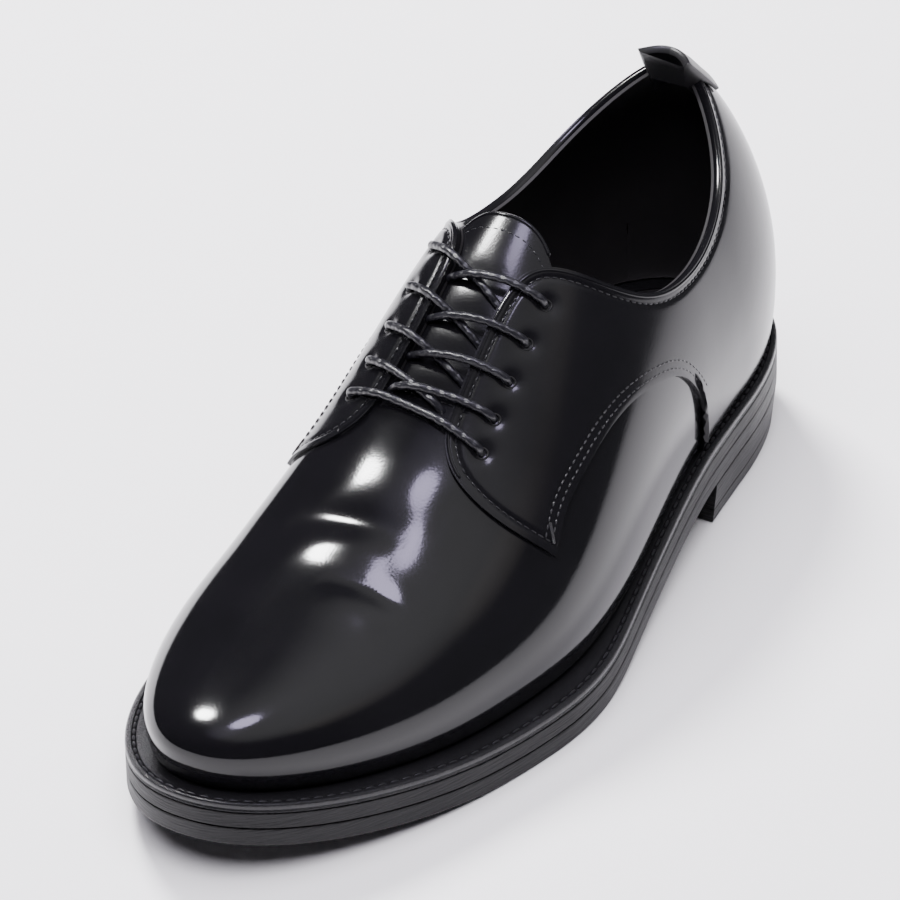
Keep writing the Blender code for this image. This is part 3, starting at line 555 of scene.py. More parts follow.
def lay_grid(name: str, columns: int, rows: int, place: Callable[[Array, Array], Array],
             sheet: bool = False) -> bpy.types.Object:
    """Model a surface from a grid primitive.

    Args:
        name: The piece's name.
        columns: Faces along the grid.
        rows: Faces across it.
        place: Points for arrays of shares along and across, each from 0 to 1.
        sheet: Whether it is an open sheet of the upper, which faces away from the middle.

    Returns:
        The piece, with doubles merged and with the grid's UV map.
    """
    deselect()
    bpy.ops.mesh.primitive_grid_add(x_subdivisions=columns, y_subdivisions=rows, size=1,
                                    location=(0, 0, 0), calc_uvs=True)
    piece = bpy.context.object
    piece.name = piece.data.name = name
    flat = np.empty(3 * len(piece.data.vertices))
    piece.data.vertices.foreach_get("co", flat)
    flat = flat.reshape(-1, 3) + 0.5
    points = np.asarray(place(flat[:, 0], flat[:, 1]), float)
    piece.data.vertices.foreach_set("co", points.ravel())
    bpy.ops.object.mode_set(mode="EDIT")
    bpy.ops.mesh.select_all(action="SELECT")
    bpy.ops.mesh.remove_doubles(threshold=0.00002)
    if not sheet:
        bpy.ops.mesh.normals_make_consistent(inside=False)
    bpy.ops.object.mode_set(mode="OBJECT")
    if sheet and faces_inward(piece):
        bpy.ops.object.mode_set(mode="EDIT")
        bpy.ops.mesh.select_all(action="SELECT")
        bpy.ops.mesh.flip_normals()
        bpy.ops.object.mode_set(mode="OBJECT")
    return piece


def apply_modifier(piece: bpy.types.Object, kind: str, **settings: object) -> None:
    """Add a modifier with these settings and apply it."""
    activate(piece)
    modifier = piece.modifiers.new(kind.lower(), kind)
    for key, value in settings.items():
        setattr(modifier, key, value)
    bpy.ops.object.modifier_apply(modifier=modifier.name)


def soften(piece: bpy.types.Object, width: float, segments: int = 2) -> None:
    """Round the sharp edges of a piece."""
    apply_modifier(piece, "BEVEL", width=width, segments=segments, limit_method="ANGLE",
                   angle_limit=math.radians(50))


def thicken(piece: bpy.types.Object, thickness: float) -> None:
    """Give a sheet its thickness on the inside."""
    apply_modifier(piece, "SOLIDIFY", thickness=thickness, offset=-1)


def dress(piece: bpy.types.Object, finish: Finish, slot: str, *nodes: str,
          angle: float = 38.0) -> bpy.types.Object:
    """Shade a piece, give it its finish and tie it to the frame.

    Args:
        piece: The finished mesh.
        finish: Its material.
        slot: The record's material slot. It is not used.
        nodes: CAD nodes that it stands for.
        angle: Edges sharper than this many degrees stay sharp.

    Returns:
        The same piece.
    """
    activate(piece)
    bpy.ops.object.shade_smooth_by_angle(angle=math.radians(angle))
    piece.data.materials.clear()
    piece.data.materials.append(finish.material())
    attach(piece, "root")
    if nodes:
        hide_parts(*nodes)
    log.info("%s: %d faces, %s", piece.name, len(piece.data.polygons), finish.name)
    return piece


def resample(points: Sequence, count: int) -> Array:
    """Points evenly spaced on a smooth curve on the last through (row, across) pairs."""
    points = np.asarray(points, float)
    way = way_along(points * (LAST.ridge, LAST.across))
    return Curve(way, points)(np.linspace(0, way[-1], count))


def straight(points: Sequence, count: int) -> Array:
    """Points evenly spaced on straight runs between (row, across) pairs."""
    points = np.asarray(points, float)
    way = way_along(points * (LAST.ridge, LAST.across))
    return pick(np.linspace(0, way[-1], count), way, points)


def smooth_step(value: Array) -> Array:
    """Soft ramp from 0 at 0 to 1 at 1."""
    value = np.clip(value, 0, 1)
    return value * value * (3 - 2 * value)


def edge_frame(path: Array, level: float) -> tuple[Array, Array, Array]:
    """Points along a (row, across) path with the directions square to it.

    Args:
        path: Pairs of row and across.
        level: Height over the last.

    Returns:
        Points, surface normals, and directions in the surface to the path's left.
    """
    points = LAST.skin(path[:, 0], path[:, 1], level)
    normals = LAST.bare_normal(path[:, 0], path[:, 1])
    tangents = unit(np.gradient(points, axis=0))
    return points, normals, unit(np.cross(normals, tangents))


def sweep(name: str, points: Array, first: Array, second: Array, radii: tuple[float, float],
          sides: int = 12) -> bpy.types.Object:
    """Closed tube of oval section along points.

    Args:
        name: The piece's name.
        points: Middle of the tube.
        first: Direction of the first half width, for each point.
        second: Direction of the second half width.
        radii: The two half widths.
        sides: Faces round the tube.

    Returns:
        The tube, with rounded-off ends.
    """
    count = len(points)

    def place(along: Array, around: Array) -> Array:
        """Points on the tube, narrowed to a point at both ends."""
        at = along * (count - 1)
        ends = np.sqrt(np.clip(1 - (1 - np.minimum(at, count - 1 - at) / 1.5).clip(0) ** 2, 0, 1))
        i = np.rint(at).astype(int)
        turn = around * 2 * math.pi
        return (points[i] + first[i] * (radii[0] * ends * np.cos(turn))[:, None]
                + second[i] * (radii[1] * ends * np.sin(turn))[:, None])

    return lay_grid(name, count - 1, sides, place)


@dataclass
class Stitching:
    """A row of stitches: how long and thick one is, and how far apart they are."""

    pitch: float = 0.0024
    length: float = 0.0017
    thread: float = 0.00026
    sunk: float = 0.00008

    def sew(self, name: str, points: Array, normals: Array,
            slot: str = "polished_leather") -> bpy.types.Object:
        """Lay stitches along a path.

        Args:
            name: The piece's name.
            points: Path of the row on the surface.
            normals: Surface normals along it.
            slot: Material slot of the record.

        Returns:
            The stitches, joined in one piece.
        """
        deselect()
        bpy.ops.mesh.primitive_uv_sphere_add(segments=8, ring_count=6, radius=1,
                                             location=(0, 0, 0))
        master = bpy.context.object
        shape = np.array([tuple(v.co) for v in master.data.vertices])
        shape = shape[:, [2, 0, 1]] * (self.length / 2, self.thread, self.thread)
        faces = [tuple(face.vertices) for face in master.data.polygons]
        bpy.data.objects.remove(master)
        way = way_along(points)
        at = np.arange(self.pitch / 2, way[-1], self.pitch)
        centre, up = pick(at, way, points), pick(at, way, normals)
        forward = pick(at + self.pitch / 3, way, points) - centre
        forward[-1] = forward[-2]
        forward = unit(forward)
        side = unit(np.cross(up, forward))
        vertices = centre[:, None] - up[:, None] * self.sunk
        for number, axis in enumerate((forward, side, up)):
            vertices = vertices + shape[None, :, number:number + 1] * axis[:, None]
        starts = range(0, len(at) * len(shape), len(shape))
        mesh = bpy.data.meshes.new(name)
        mesh.from_pydata(vertices.reshape(-1, 3).tolist(), [],
                         [tuple(i + start for i in face) for start in starts for face in faces])
        return dress(link(name, mesh), NYLON_THREAD, slot, angle=80)


# Pattern lines on the last as (row, across) pairs, from the throat tip backwards
LATERAL_TOPLINE = (
    (0.4214, 0.680), (0.4086, 0.540), (0.4045, 0.440), (0.4064, 0.340), (0.4130, 0.262),
    (0.4230, 0.208), (0.4360, 0.172), (0.4600, 0.155), (0.4910, 0.150), (0.5237, 0.156),
    (0.5455, 0.178), (0.5620, 0.222), (0.5760, 0.300), (0.5900, 0.405), (0.6060, 0.505),
    (0.6280, 0.595), (0.6540, 0.655), (0.6860, 0.690), (0.7220, 0.695), (0.7560, 0.670),
    (0.7880, 0.615), (0.8160, 0.520), (0.8370, 0.380), (0.8490, 0.200), (0.8530, 0.000),
)
MEDIAL_TOPLINE = (
    (0.4170, -0.600), (0.4100, -0.430), (0.4100, -0.325), (0.4165, -0.240),
    (0.4270, -0.185), (0.4420, -0.155), (0.4680, -0.145), (0.5000, -0.136),
    (0.5300, -0.136), (0.5500, -0.142), (0.5660, -0.170), (0.5800, -0.235),
    (0.5930, -0.330), (0.6060, -0.430), (0.6260, -0.530), (0.6520, -0.605),
    (0.6860, -0.650), (0.7220, -0.660), (0.7560, -0.640), (0.7880, -0.590),
    (0.8160, -0.500), (0.8370, -0.365), (0.8490, -0.190), (0.8530, 0.000),
)
LATERAL_ARC = (
    (0.4214, 0.680), (0.4490, 0.632), (0.4850, 0.628), (0.5200, 0.645), (0.5610, 0.690),
    (0.6020, 0.760), (0.6400, 0.850), (0.6720, 1.000),
)
MEDIAL_ARC = (
    (0.4170, -0.600), (0.4450, -0.565), (0.4850, -0.570), (0.5200, -0.600),
    (0.5610, -0.660), (0.6020, -0.745), (0.6400, -0.845), (0.6720, -1.000),
)
LATERAL_EYELETS = (
    (0.5493, 0.318), (0.5180, 0.306), (0.4885, 0.300), (0.4615, 0.304), (0.4370, 0.315),
)
MEDIAL_EYELETS = (
    (0.5680, -0.330), (0.5345, -0.322), (0.5030, -0.316), (0.4760, -0.318), (0.4500, -0.320),
)


@dataclass
class Vamp:
    """The toe and forefoot, cut in one piece, which runs under the quarters."""

    thickness: float = 0.0009
    throat: float = 0.461
    columns: int = 150
    rows: int = 130

    def reach(self, across: Array) -> Array:
        """Row at which the vamp ends, hidden under the quarters at the sides."""
        side = np.abs(across)
        return (self.throat + 0.03 * smooth_step((side - 0.17) / 0.1)
                + 0.235 * smooth_step((side - 0.45) / 0.45))

    def sheet(self, name: str, level: float, shorter: float = 0.0) -> bpy.types.Object:
        """Grid over the toe and forefoot at a level over the last."""
        def place(u: Array, v: Array) -> Array:
            """Points from the sole's edge on one side over to the other."""
            across = (2 * u - 1) * (1 + LAST.band)
            row = -LAST.band / 5 + (self.reach(across) - shorter + LAST.band / 5) * v
            return LAST.skin(row, across, level)

        return lay_grid(name, self.columns, self.rows, place, True)

    def build(self) -> None:
        """Vamp, its lining and the stitched seam of the tongue across its throat."""
        piece = self.sheet("vamp", 0.0)
        thicken(piece, self.thickness)
        dress(piece, TOE_CALF, "polished_leather", "upper")
        lining = self.sheet("vamp_lining", -self.thickness - 0.0001, 0.004)
        thicken(lining, self.thickness)
        dress(lining, LINING_CALF, "insole_leather", "upper")
        seam = resample(((self.throat - 0.006, 0.158), (self.throat - 0.0075, 0.0),
                         (self.throat - 0.006, -0.147)), 60)
        points, normals, _ = edge_frame(seam, 0.0)
        Stitching().sew("throat_stitches", points, normals)


@dataclass
class Quarter:
    """One side of the shoe behind the vamp: its leather, bead, eyelets and stitches."""

    side: str
    edge: tuple
    arc: tuple
    eyelets: tuple
    thickness: float = 0.0011
    bead: float = 0.0011
    split_row: float = 0.672
    rows: int = 46
    front: int = 120
    back: int = 84
    stitch_in: float = 0.0031
    arc_rows: tuple[float, float] = (0.0022, 0.0045)
    # Depth and half width of the edge's stitch groove and of the dimple at an eyelet
    groove: tuple[float, float] = (0.00045, 0.0007)
    dimple: tuple[float, float] = (0.0010, 0.0026)
    tack: Stitching = field(default_factory=lambda: Stitching(0.0005, 0.0007, 0.0005, 0.0))

    def __post_init__(self) -> None:
        """Lay out the upper and lower edges of the pattern, matched point by point."""
        sign = 1 if self.side == "outer" else -1
        self.sign = sign
        edge = self.fine_edge = resample(self.edge, 700)
        cut = int(np.argmin(np.abs(edge[100:, 0] - self.split_row))) + 100
        self.upper_edge = np.concatenate([straight(edge[:cut + 1], self.front + 1),
                                          straight(edge[cut:], self.back + 1)[1:]])
        low = 1 + LAST.band
        foot = [(0.684, sign * low), (0.80, sign * low), (0.92, sign * low), (1.0, sign * low),
                (1.0 + LAST.band / 5, sign), (1.0 + LAST.band / 5, 0.0)]
        arc = np.concatenate([resample(self.arc, 90), [(0.684, sign * low)]])
        self.lower_edge = np.concatenate([straight(arc, self.front + 1),
                                          straight(foot, self.back + 1)[1:]])
        self.columns = self.front + self.back
        self.edge_points = LAST.skin(edge[:, 0], edge[:, 1])
        self.arc_path = resample(self.arc, 200)

    def sheet(self, name: str, level: float, relief: bool) -> bpy.types.Object:
        """Grid over the quarter at a level over the last, with its stitch groove and dimples."""
        def place(u: Array, v: Array) -> Array:
            """Points from the top edge down to the sole."""
            i = np.rint(u * self.columns).astype(int)
            share = (v ** 1.5)[:, None]
            flat = self.upper_edge[i] * (1 - share) + self.lower_edge[i] * share
            heights = np.full(len(u), level)
            if relief:
                points = LAST.skin(flat[:, 0], flat[:, 1])
                near = np.full(len(u), 1.0)
                for start in range(0, len(u), 2000):
                    part = points[start:start + 2000, None] - self.edge_points[None]
                    near[start:start + 2000] = np.sqrt((part ** 2).sum(-1).min(1))
                depth, width = self.groove
                heights -= depth * np.exp(-((near - self.stitch_in) / width) ** 2)
                depth, width = self.dimple
                for row, across in self.eyelets:
                    apart = np.linalg.norm(points - LAST.spot(row, across), axis=1)
                    heights -= depth * np.exp(-(apart / width) ** 2)
            return LAST.skin(flat[:, 0], flat[:, 1], heights)

        return lay_grid(name, self.columns, self.rows, place, True)

    def build(self) -> None:
        """Leather, lining, bead, stitch rows and eyelets of this side."""
        leather = self.sheet(f"{self.side}_quarter", LAST.step, True)
        thicken(leather, self.thickness)
        soften(leather, 0.0003)
        dress(leather, POLISHED_CALF, "polished_leather", "upper")
        lining = self.sheet(f"{self.side}_lining", -0.0011, False)
        thicken(lining, 0.0009)
        dress(lining, LINING_CALF, "insole_leather", "upper")
        self.roll_bead()
        self.sew_rows()
        self.punch_eyelets()

    def roll_bead(self) -> None:
        """Rolled edge of the facing and the collar."""
        start = int(np.argmin(self.fine_edge[:350, 0])) + 30
        path = straight(self.fine_edge[start:], 260)
        points, normals, left = edge_frame(path, -0.0003)
        inward = -left * self.sign
        middle = points + inward * self.bead * 0.9
        piece = sweep(f"{self.side}_collar_bead", middle, inward, normals, (self.bead, 0.00172), 14)
        dress(piece, TOE_CALF, "polished_leather", "upper", angle=80)

    def inset(self, path: Array, distance: float, level: float) -> tuple[Array, Array]:
        """Points that lie inside a path's edge by a distance, with their normals."""
        points, normals, left = edge_frame(path, level)
        return points - left * self.sign * distance, normals

    def sew_rows(self) -> None:
        """Stitch rows inside the bead, along the raw front edge and along the arc."""
        points, normals = self.inset(self.fine_edge[8:], self.stitch_in, LAST.step - 0.0003)
        Stitching().sew(f"{self.side}_edge_stitches", points, normals)
        for number, distance in enumerate(self.arc_rows, 1):
            points, normals = self.inset(self.arc_path[6:-4], -distance, LAST.step)
            Stitching().sew(f"{self.side}_arc_stitches_{number}", points, normals)
        row, across = self.edge[0]
        line = straight(((row + 0.0045, across * 0.955), (row + 0.0125, across * 0.885)), 20)
        points, normals, _ = edge_frame(line, LAST.step)
        self.tack.sew(f"{self.side}_bar_tack", points, normals)

    def punch_eyelets(self) -> None:
        """Inked rim of each punched eyelet."""
        for number, (row, across) in enumerate(self.eyelets, 1):
            deselect()
            bpy.ops.mesh.primitive_torus_add(location=(0, 0, 0), major_radius=0.00165,
                                             minor_radius=0.00032, major_segments=24,
                                             minor_segments=8)
            rim = bpy.context.object
            rim.name = f"{self.side}_eyelet_{number}"
            rim.rotation_mode = "QUATERNION"
            normal = Vector(LAST.bare_normal(row, across))
            rim.rotation_quaternion = normal.to_track_quat("Z", "Y")
            rim.location = LAST.spot(row, across, LAST.step - 0.0006)
            bpy.ops.object.transform_apply(location=True, rotation=True, scale=True)
            dress(rim, INKED_EDGE, "polished_leather", "upper", angle=80)


@dataclass
class Tongue:
    """The tongue under the facings, with a stitched edge at its top."""

    start: float = 0.432
    end: float = 0.594
    centre: float = -0.005
    reach: float = 0.330
    thickness: float = 0.0018
    press: float = 0.0004

    def lay(self, u: Array, v: Array) -> Array:
        """Row and across of the tongue for shares across and along it."""
        side = 2 * u - 1
        top = self.end - 0.018 * side ** 4
        row = self.start + (top - self.start) * v
        across = self.centre + self.reach * (1 - 0.06 * v ** 2) * side
        return np.stack([row, across], -1)

    def build(self) -> None:
        """Tongue leather, pressed in a little where the laces cross it."""
        level = -LAST.wall - LAST.gap

        def place(u: Array, v: Array) -> Array:
            """Points of the tongue's face."""
            flat = self.lay(u, v)
            pressed = np.zeros(len(u))
            for row, _ in LATERAL_EYELETS[:4]:
                off = (flat[:, 0] - row + 0.004) * LAST.ridge
                pressed += self.press * np.exp(-(off / 0.0035) ** 2)
            pressed *= np.exp(-(flat[:, 1] / 0.12) ** 2)
            return LAST.skin(flat[:, 0], flat[:, 1], level - pressed)

        piece = lay_grid("tongue_leather", 56, 64, place, True)
        thicken(piece, self.thickness)
        soften(piece, 0.0006, 3)
        dress(piece, POLISHED_CALF, "polished_leather", "tongue")
        u = np.linspace(0.06, 0.94, 120)
        points, normals, _ = edge_frame(self.lay(u, np.full(120, 0.925)), level)
        Stitching().sew("tongue_stitches", points, normals)
        rim = self.lay(u, np.ones(120))
        points, normals, left = edge_frame(rim, level - self.thickness / 2)
        bead = sweep("tongue_edge_bead", points, left, normals, (0.0009, 0.0012), 12)
        dress(bead, POLISHED_CALF, "polished_leather", "tongue", angle=80)


@dataclass
class PullTab:
    """Folded strip over the back of the collar, with flared top corners."""

    width: float = 0.0215
    rise: float = 0.0090
    leg: float = 0.0090
    leather: float = 0.0013
    dip: float = 0.0016
    columns: int = 30

    def slide(self, row: float, across: float, tangent: Array,
              length: float) -> tuple[float, float]:
        """Station on the last that lies length below another, square to the tangent."""
        for _ in range(4):
            small = 1e-4
            here = LAST.bare_point(row, across)
            along = (LAST.bare_point(row + small, across) - here) / small
            over = (LAST.bare_point(row, across + small) - here) / small
            down = unit(np.cross(tangent, np.cross(over, along)))
            down *= -math.copysign(1.0, down[2])
            move, *_ = np.linalg.lstsq(np.stack([along, over], -1), down * length / 4, rcond=None)
            row, across = row + move[0], across + move[1]
        return row, across

    def profile(self) -> Array:
        """Section of the strip: outward place, height over the collar, share of the width."""
        outer, inner = LAST.step + LAST.gap, -LAST.wall - 2 * LAST.gap
        leather, lean, leg, rise = self.leather, 0.6 * self.leather, self.leg, self.rise
        fold = outer - lean
        corners = (
            (outer + leather, -leg, 1.0), (outer + leather, -0.5 * leg, 0.94),
            (outer + leather, 0.15 * rise, 0.88), (fold + 0.2 * leather, 0.8 * rise, 0.96),
            (fold - 0.2 * leather, rise, 1.0), (fold - 1.1 * leather, rise * 1.04, 1.01),
            (fold - 2.0 * leather, rise, 1.0), (fold - 2.3 * leather, 0.8 * rise, 0.96),
            (inner - leather, 0.15 * rise, 0.9), (inner - leather, -0.5 * leg, 0.94),
            (inner - leather, -leg, 1.0), (inner, -leg, 1.0), (inner, -0.5 * leg, 0.94),
            (inner + 0.1 * leather, 0.004 * leg, 0.9), (outer - 0.1 * leather, 0.004 * leg, 0.9),
            (outer, -0.5 * leg, 0.94), (outer, -leg, 1.0), (outer + leather, -leg, 1.0),
        )
        return np.array(corners)

    def corner(self, start: Array, tangent: Array, side: float, out: float, rise: float,
               crest: float) -> Array:
        """One point of the fold.

        Args:
            start: Its row and across on the collar.
            tangent: Direction of the collar there.
            side: Its place across the strip, from -1 to 1.
            out: Its place outward from the last.
            rise: Its height over the collar, or under it where negative.
            crest: Height of the collar at its back.

        Returns:
            The point.
        """
        row, across = self.slide(*start, tangent, -rise) if rise < 0 else start
        normal = LAST.bare_normal(row, across)
        up = unit(np.cross(normal, tangent))
        up = unit(up * math.copysign(1.0, up[2]) + (0, 0, 1))
        here = LAST.bare_point(row, across)
        share = max(rise, 0) / self.rise
        level = share ** 2 * (0.55 * (crest - here[2]) - self.dip * (1 - side ** 2))
        return here + normal * out + up * (max(rise, 0) + level)

    def close_ends(self, piece: bpy.types.Object) -> None:
        """Fill the fold's two open cut ends."""
        activate(piece)
        bpy.ops.object.mode_set(mode="EDIT")
        bpy.ops.mesh.select_all(action="DESELECT")
        bpy.ops.mesh.select_non_manifold(extend=False, use_boundary=True, use_wire=False,
                                         use_multi_face=False, use_non_contiguous=False,
                                         use_verts=False)
        bpy.ops.mesh.fill()
        bpy.ops.mesh.select_all(action="SELECT")
        bpy.ops.mesh.normals_make_consistent(inside=False)
        bpy.ops.object.mode_set(mode="OBJECT")

    def build(self) -> None:
        """Strip as one closed fold over the back of the collar."""
        lateral, medial = resample(LATERAL_TOPLINE, 800), resample(MEDIAL_TOPLINE, 800)
        edge = np.concatenate([medial[-160:-1], lateral[-160:][::-1]])
        points = LAST.bare_point(edge[:, 0], edge[:, 1])
        way = way_along(points)
        way -= way[159]
        profile = self.profile()
        count = len(profile) - 1
        table = np.zeros((self.columns + 1, count + 1, 3))

        def station(at: float) -> Array:
            """Row and across on the collar at a distance from its back."""
            return np.array([np.interp(at, way, edge[:, 0]), np.interp(at, way, edge[:, 1])])

        for i, side in enumerate(np.linspace(-1, 1, self.columns + 1)):
            for j, (out, rise, width) in enumerate(profile):
                at = side * width * self.width / 2
                tangent = LAST.bare_point(*station(at + MM)) - LAST.bare_point(*station(at - MM))
                table[i, j] = self.corner(station(at), tangent, side, out, rise, points[159, 2])

        def place(u: Array, v: Array) -> Array:
            """Points of the fold."""
            return table[np.rint(u * self.columns).astype(int), np.rint(v * count).astype(int)]

        piece = lay_grid("pull_tab_fold", self.columns, count, place)
        self.close_ends(piece)
        soften(piece, 0.0003)
        dress(piece, STRAP_LEATHER, "tab_leather", "pull_tab")


@dataclass
class Lacing:
    """One round lace: a straight bar at the lowest eyelets and four crossings above it."""

    radius: float = 0.0012
    crossing: float = 0.0018

    def between(self, start: tuple, end: tuple, heights: Sequence) -> list[Array]:
        """Points from one eyelet to another, for pairs of share of the way and height."""
        points = []
        for share, height in heights:
            row, across = np.array(start) * (1 - share) + np.array(end) * share
            points.append(LAST.spot(row, across, height))
        return points

    def strand(self, start: tuple, end: tuple, high: bool, on_vamp: bool) -> list[Array]:
        """Waypoints from inside one eyelet over its flap and under the other flap.

        Args:
            start: Eyelet that the strand comes out of.
            end: Eyelet of the other side that it goes up through.
            high: Whether it passes over the other strand.
            on_vamp: Whether it lies on the vamp and not on the tongue.

        Returns:
            Points on the way.
        """
        on_flap = LAST.step + self.radius
        low = self.radius + (0.0001 if on_vamp else -LAST.wall - LAST.gap + 0.0002)
        top = low + self.crossing if high else low
        heights = ((0.0, -0.0012), (0.008, 0.0004), (0.035, on_flap - 0.0003), (0.12, on_flap),
                   (0.22, on_flap + 0.0001), (0.29, on_flap - 0.0002), (0.40, (top + on_flap) / 2),
                   (0.47, top + 0.0002), (0.53, top), (0.64, low + 0.0001), (0.72, -0.0016),
                   (0.85, -0.0030), (0.96, -0.0030), (0.992, -0.0022))
        return self.between(start, end, heights)

    def route(self) -> Array:
        """Waypoints of the whole lace, from one top eyelet to the other."""
        outer, inner = LATERAL_EYELETS, MEDIAL_EYELETS
        way: list[Array] = []
        for i in range(4):
            start, end = (outer[i], inner[i + 1]) if i % 2 == 0 else (inner[i], outer[i + 1])
            way += self.strand(start, end, i % 2 == 0, i == 3)
        bar = ((0.0, -0.0012), (0.008, 0.0004), (0.035, 0.0022), (0.12, 0.0024), (0.27, 0.0025),
               (0.40, 0.0016), (0.5, 0.0014), (0.60, 0.0016), (0.73, 0.0025), (0.88, 0.0024),
               (0.965, 0.0022), (0.992, 0.0004), (1.0, -0.0012))
        way += self.between(outer[4], inner[4], bar)
        for i in (3, 2, 1, 0):
            start, end = (inner[i], outer[i + 1]) if i % 2 == 0 else (outer[i], inner[i + 1])
            way += self.strand(start, end, i % 2 == 1, i == 3)[::-1]
        points = np.array(way)
        return points[np.diff(way_along(points), prepend=-1) > 0.0006]

    def build(self) -> None:
        """The lace as one tube, its hidden ends at the two top eyelets."""
        points = self.route()
        knots = np.concatenate([[0], np.cumsum(np.diff(way_along(points)) ** 0.5)])
        fine = Curve(knots, points)(np.linspace(0, knots[-1], 4000))
        length = way_along(fine)
        path = pick(np.linspace(0, length[-1], round(length[-1] / 0.0007)), length, fine)
        tangent = unit(np.gradient(path, axis=0))
        up = np.zeros_like(path)
        up[0] = np.cross(tangent[0], (0, 1, 0))
        for i in range(1, len(path)):
            up[i] = unit(up[i - 1] - tangent[i] * (up[i - 1] @ tangent[i]))
        up[0] = up[1]
        side = np.cross(up, tangent)
        piece = sweep("lace", path, side, up, (self.radius, self.radius), 14)
        layer = piece.data.uv_layers[0].data
        turns = length[-1] / (2 * math.pi * self.radius)
        flat = np.empty(2 * len(layer))
        layer.foreach_get("uv", flat)
        flat = flat.reshape(-1, 2) * (turns * 4, 4)
        layer.foreach_set("uv", flat.ravel())
        dress(piece, WAXED_LACE, "lace", "lace_bar", *(f"lace_crossing_{i}" for i in range(1, 5)),
              angle=80)


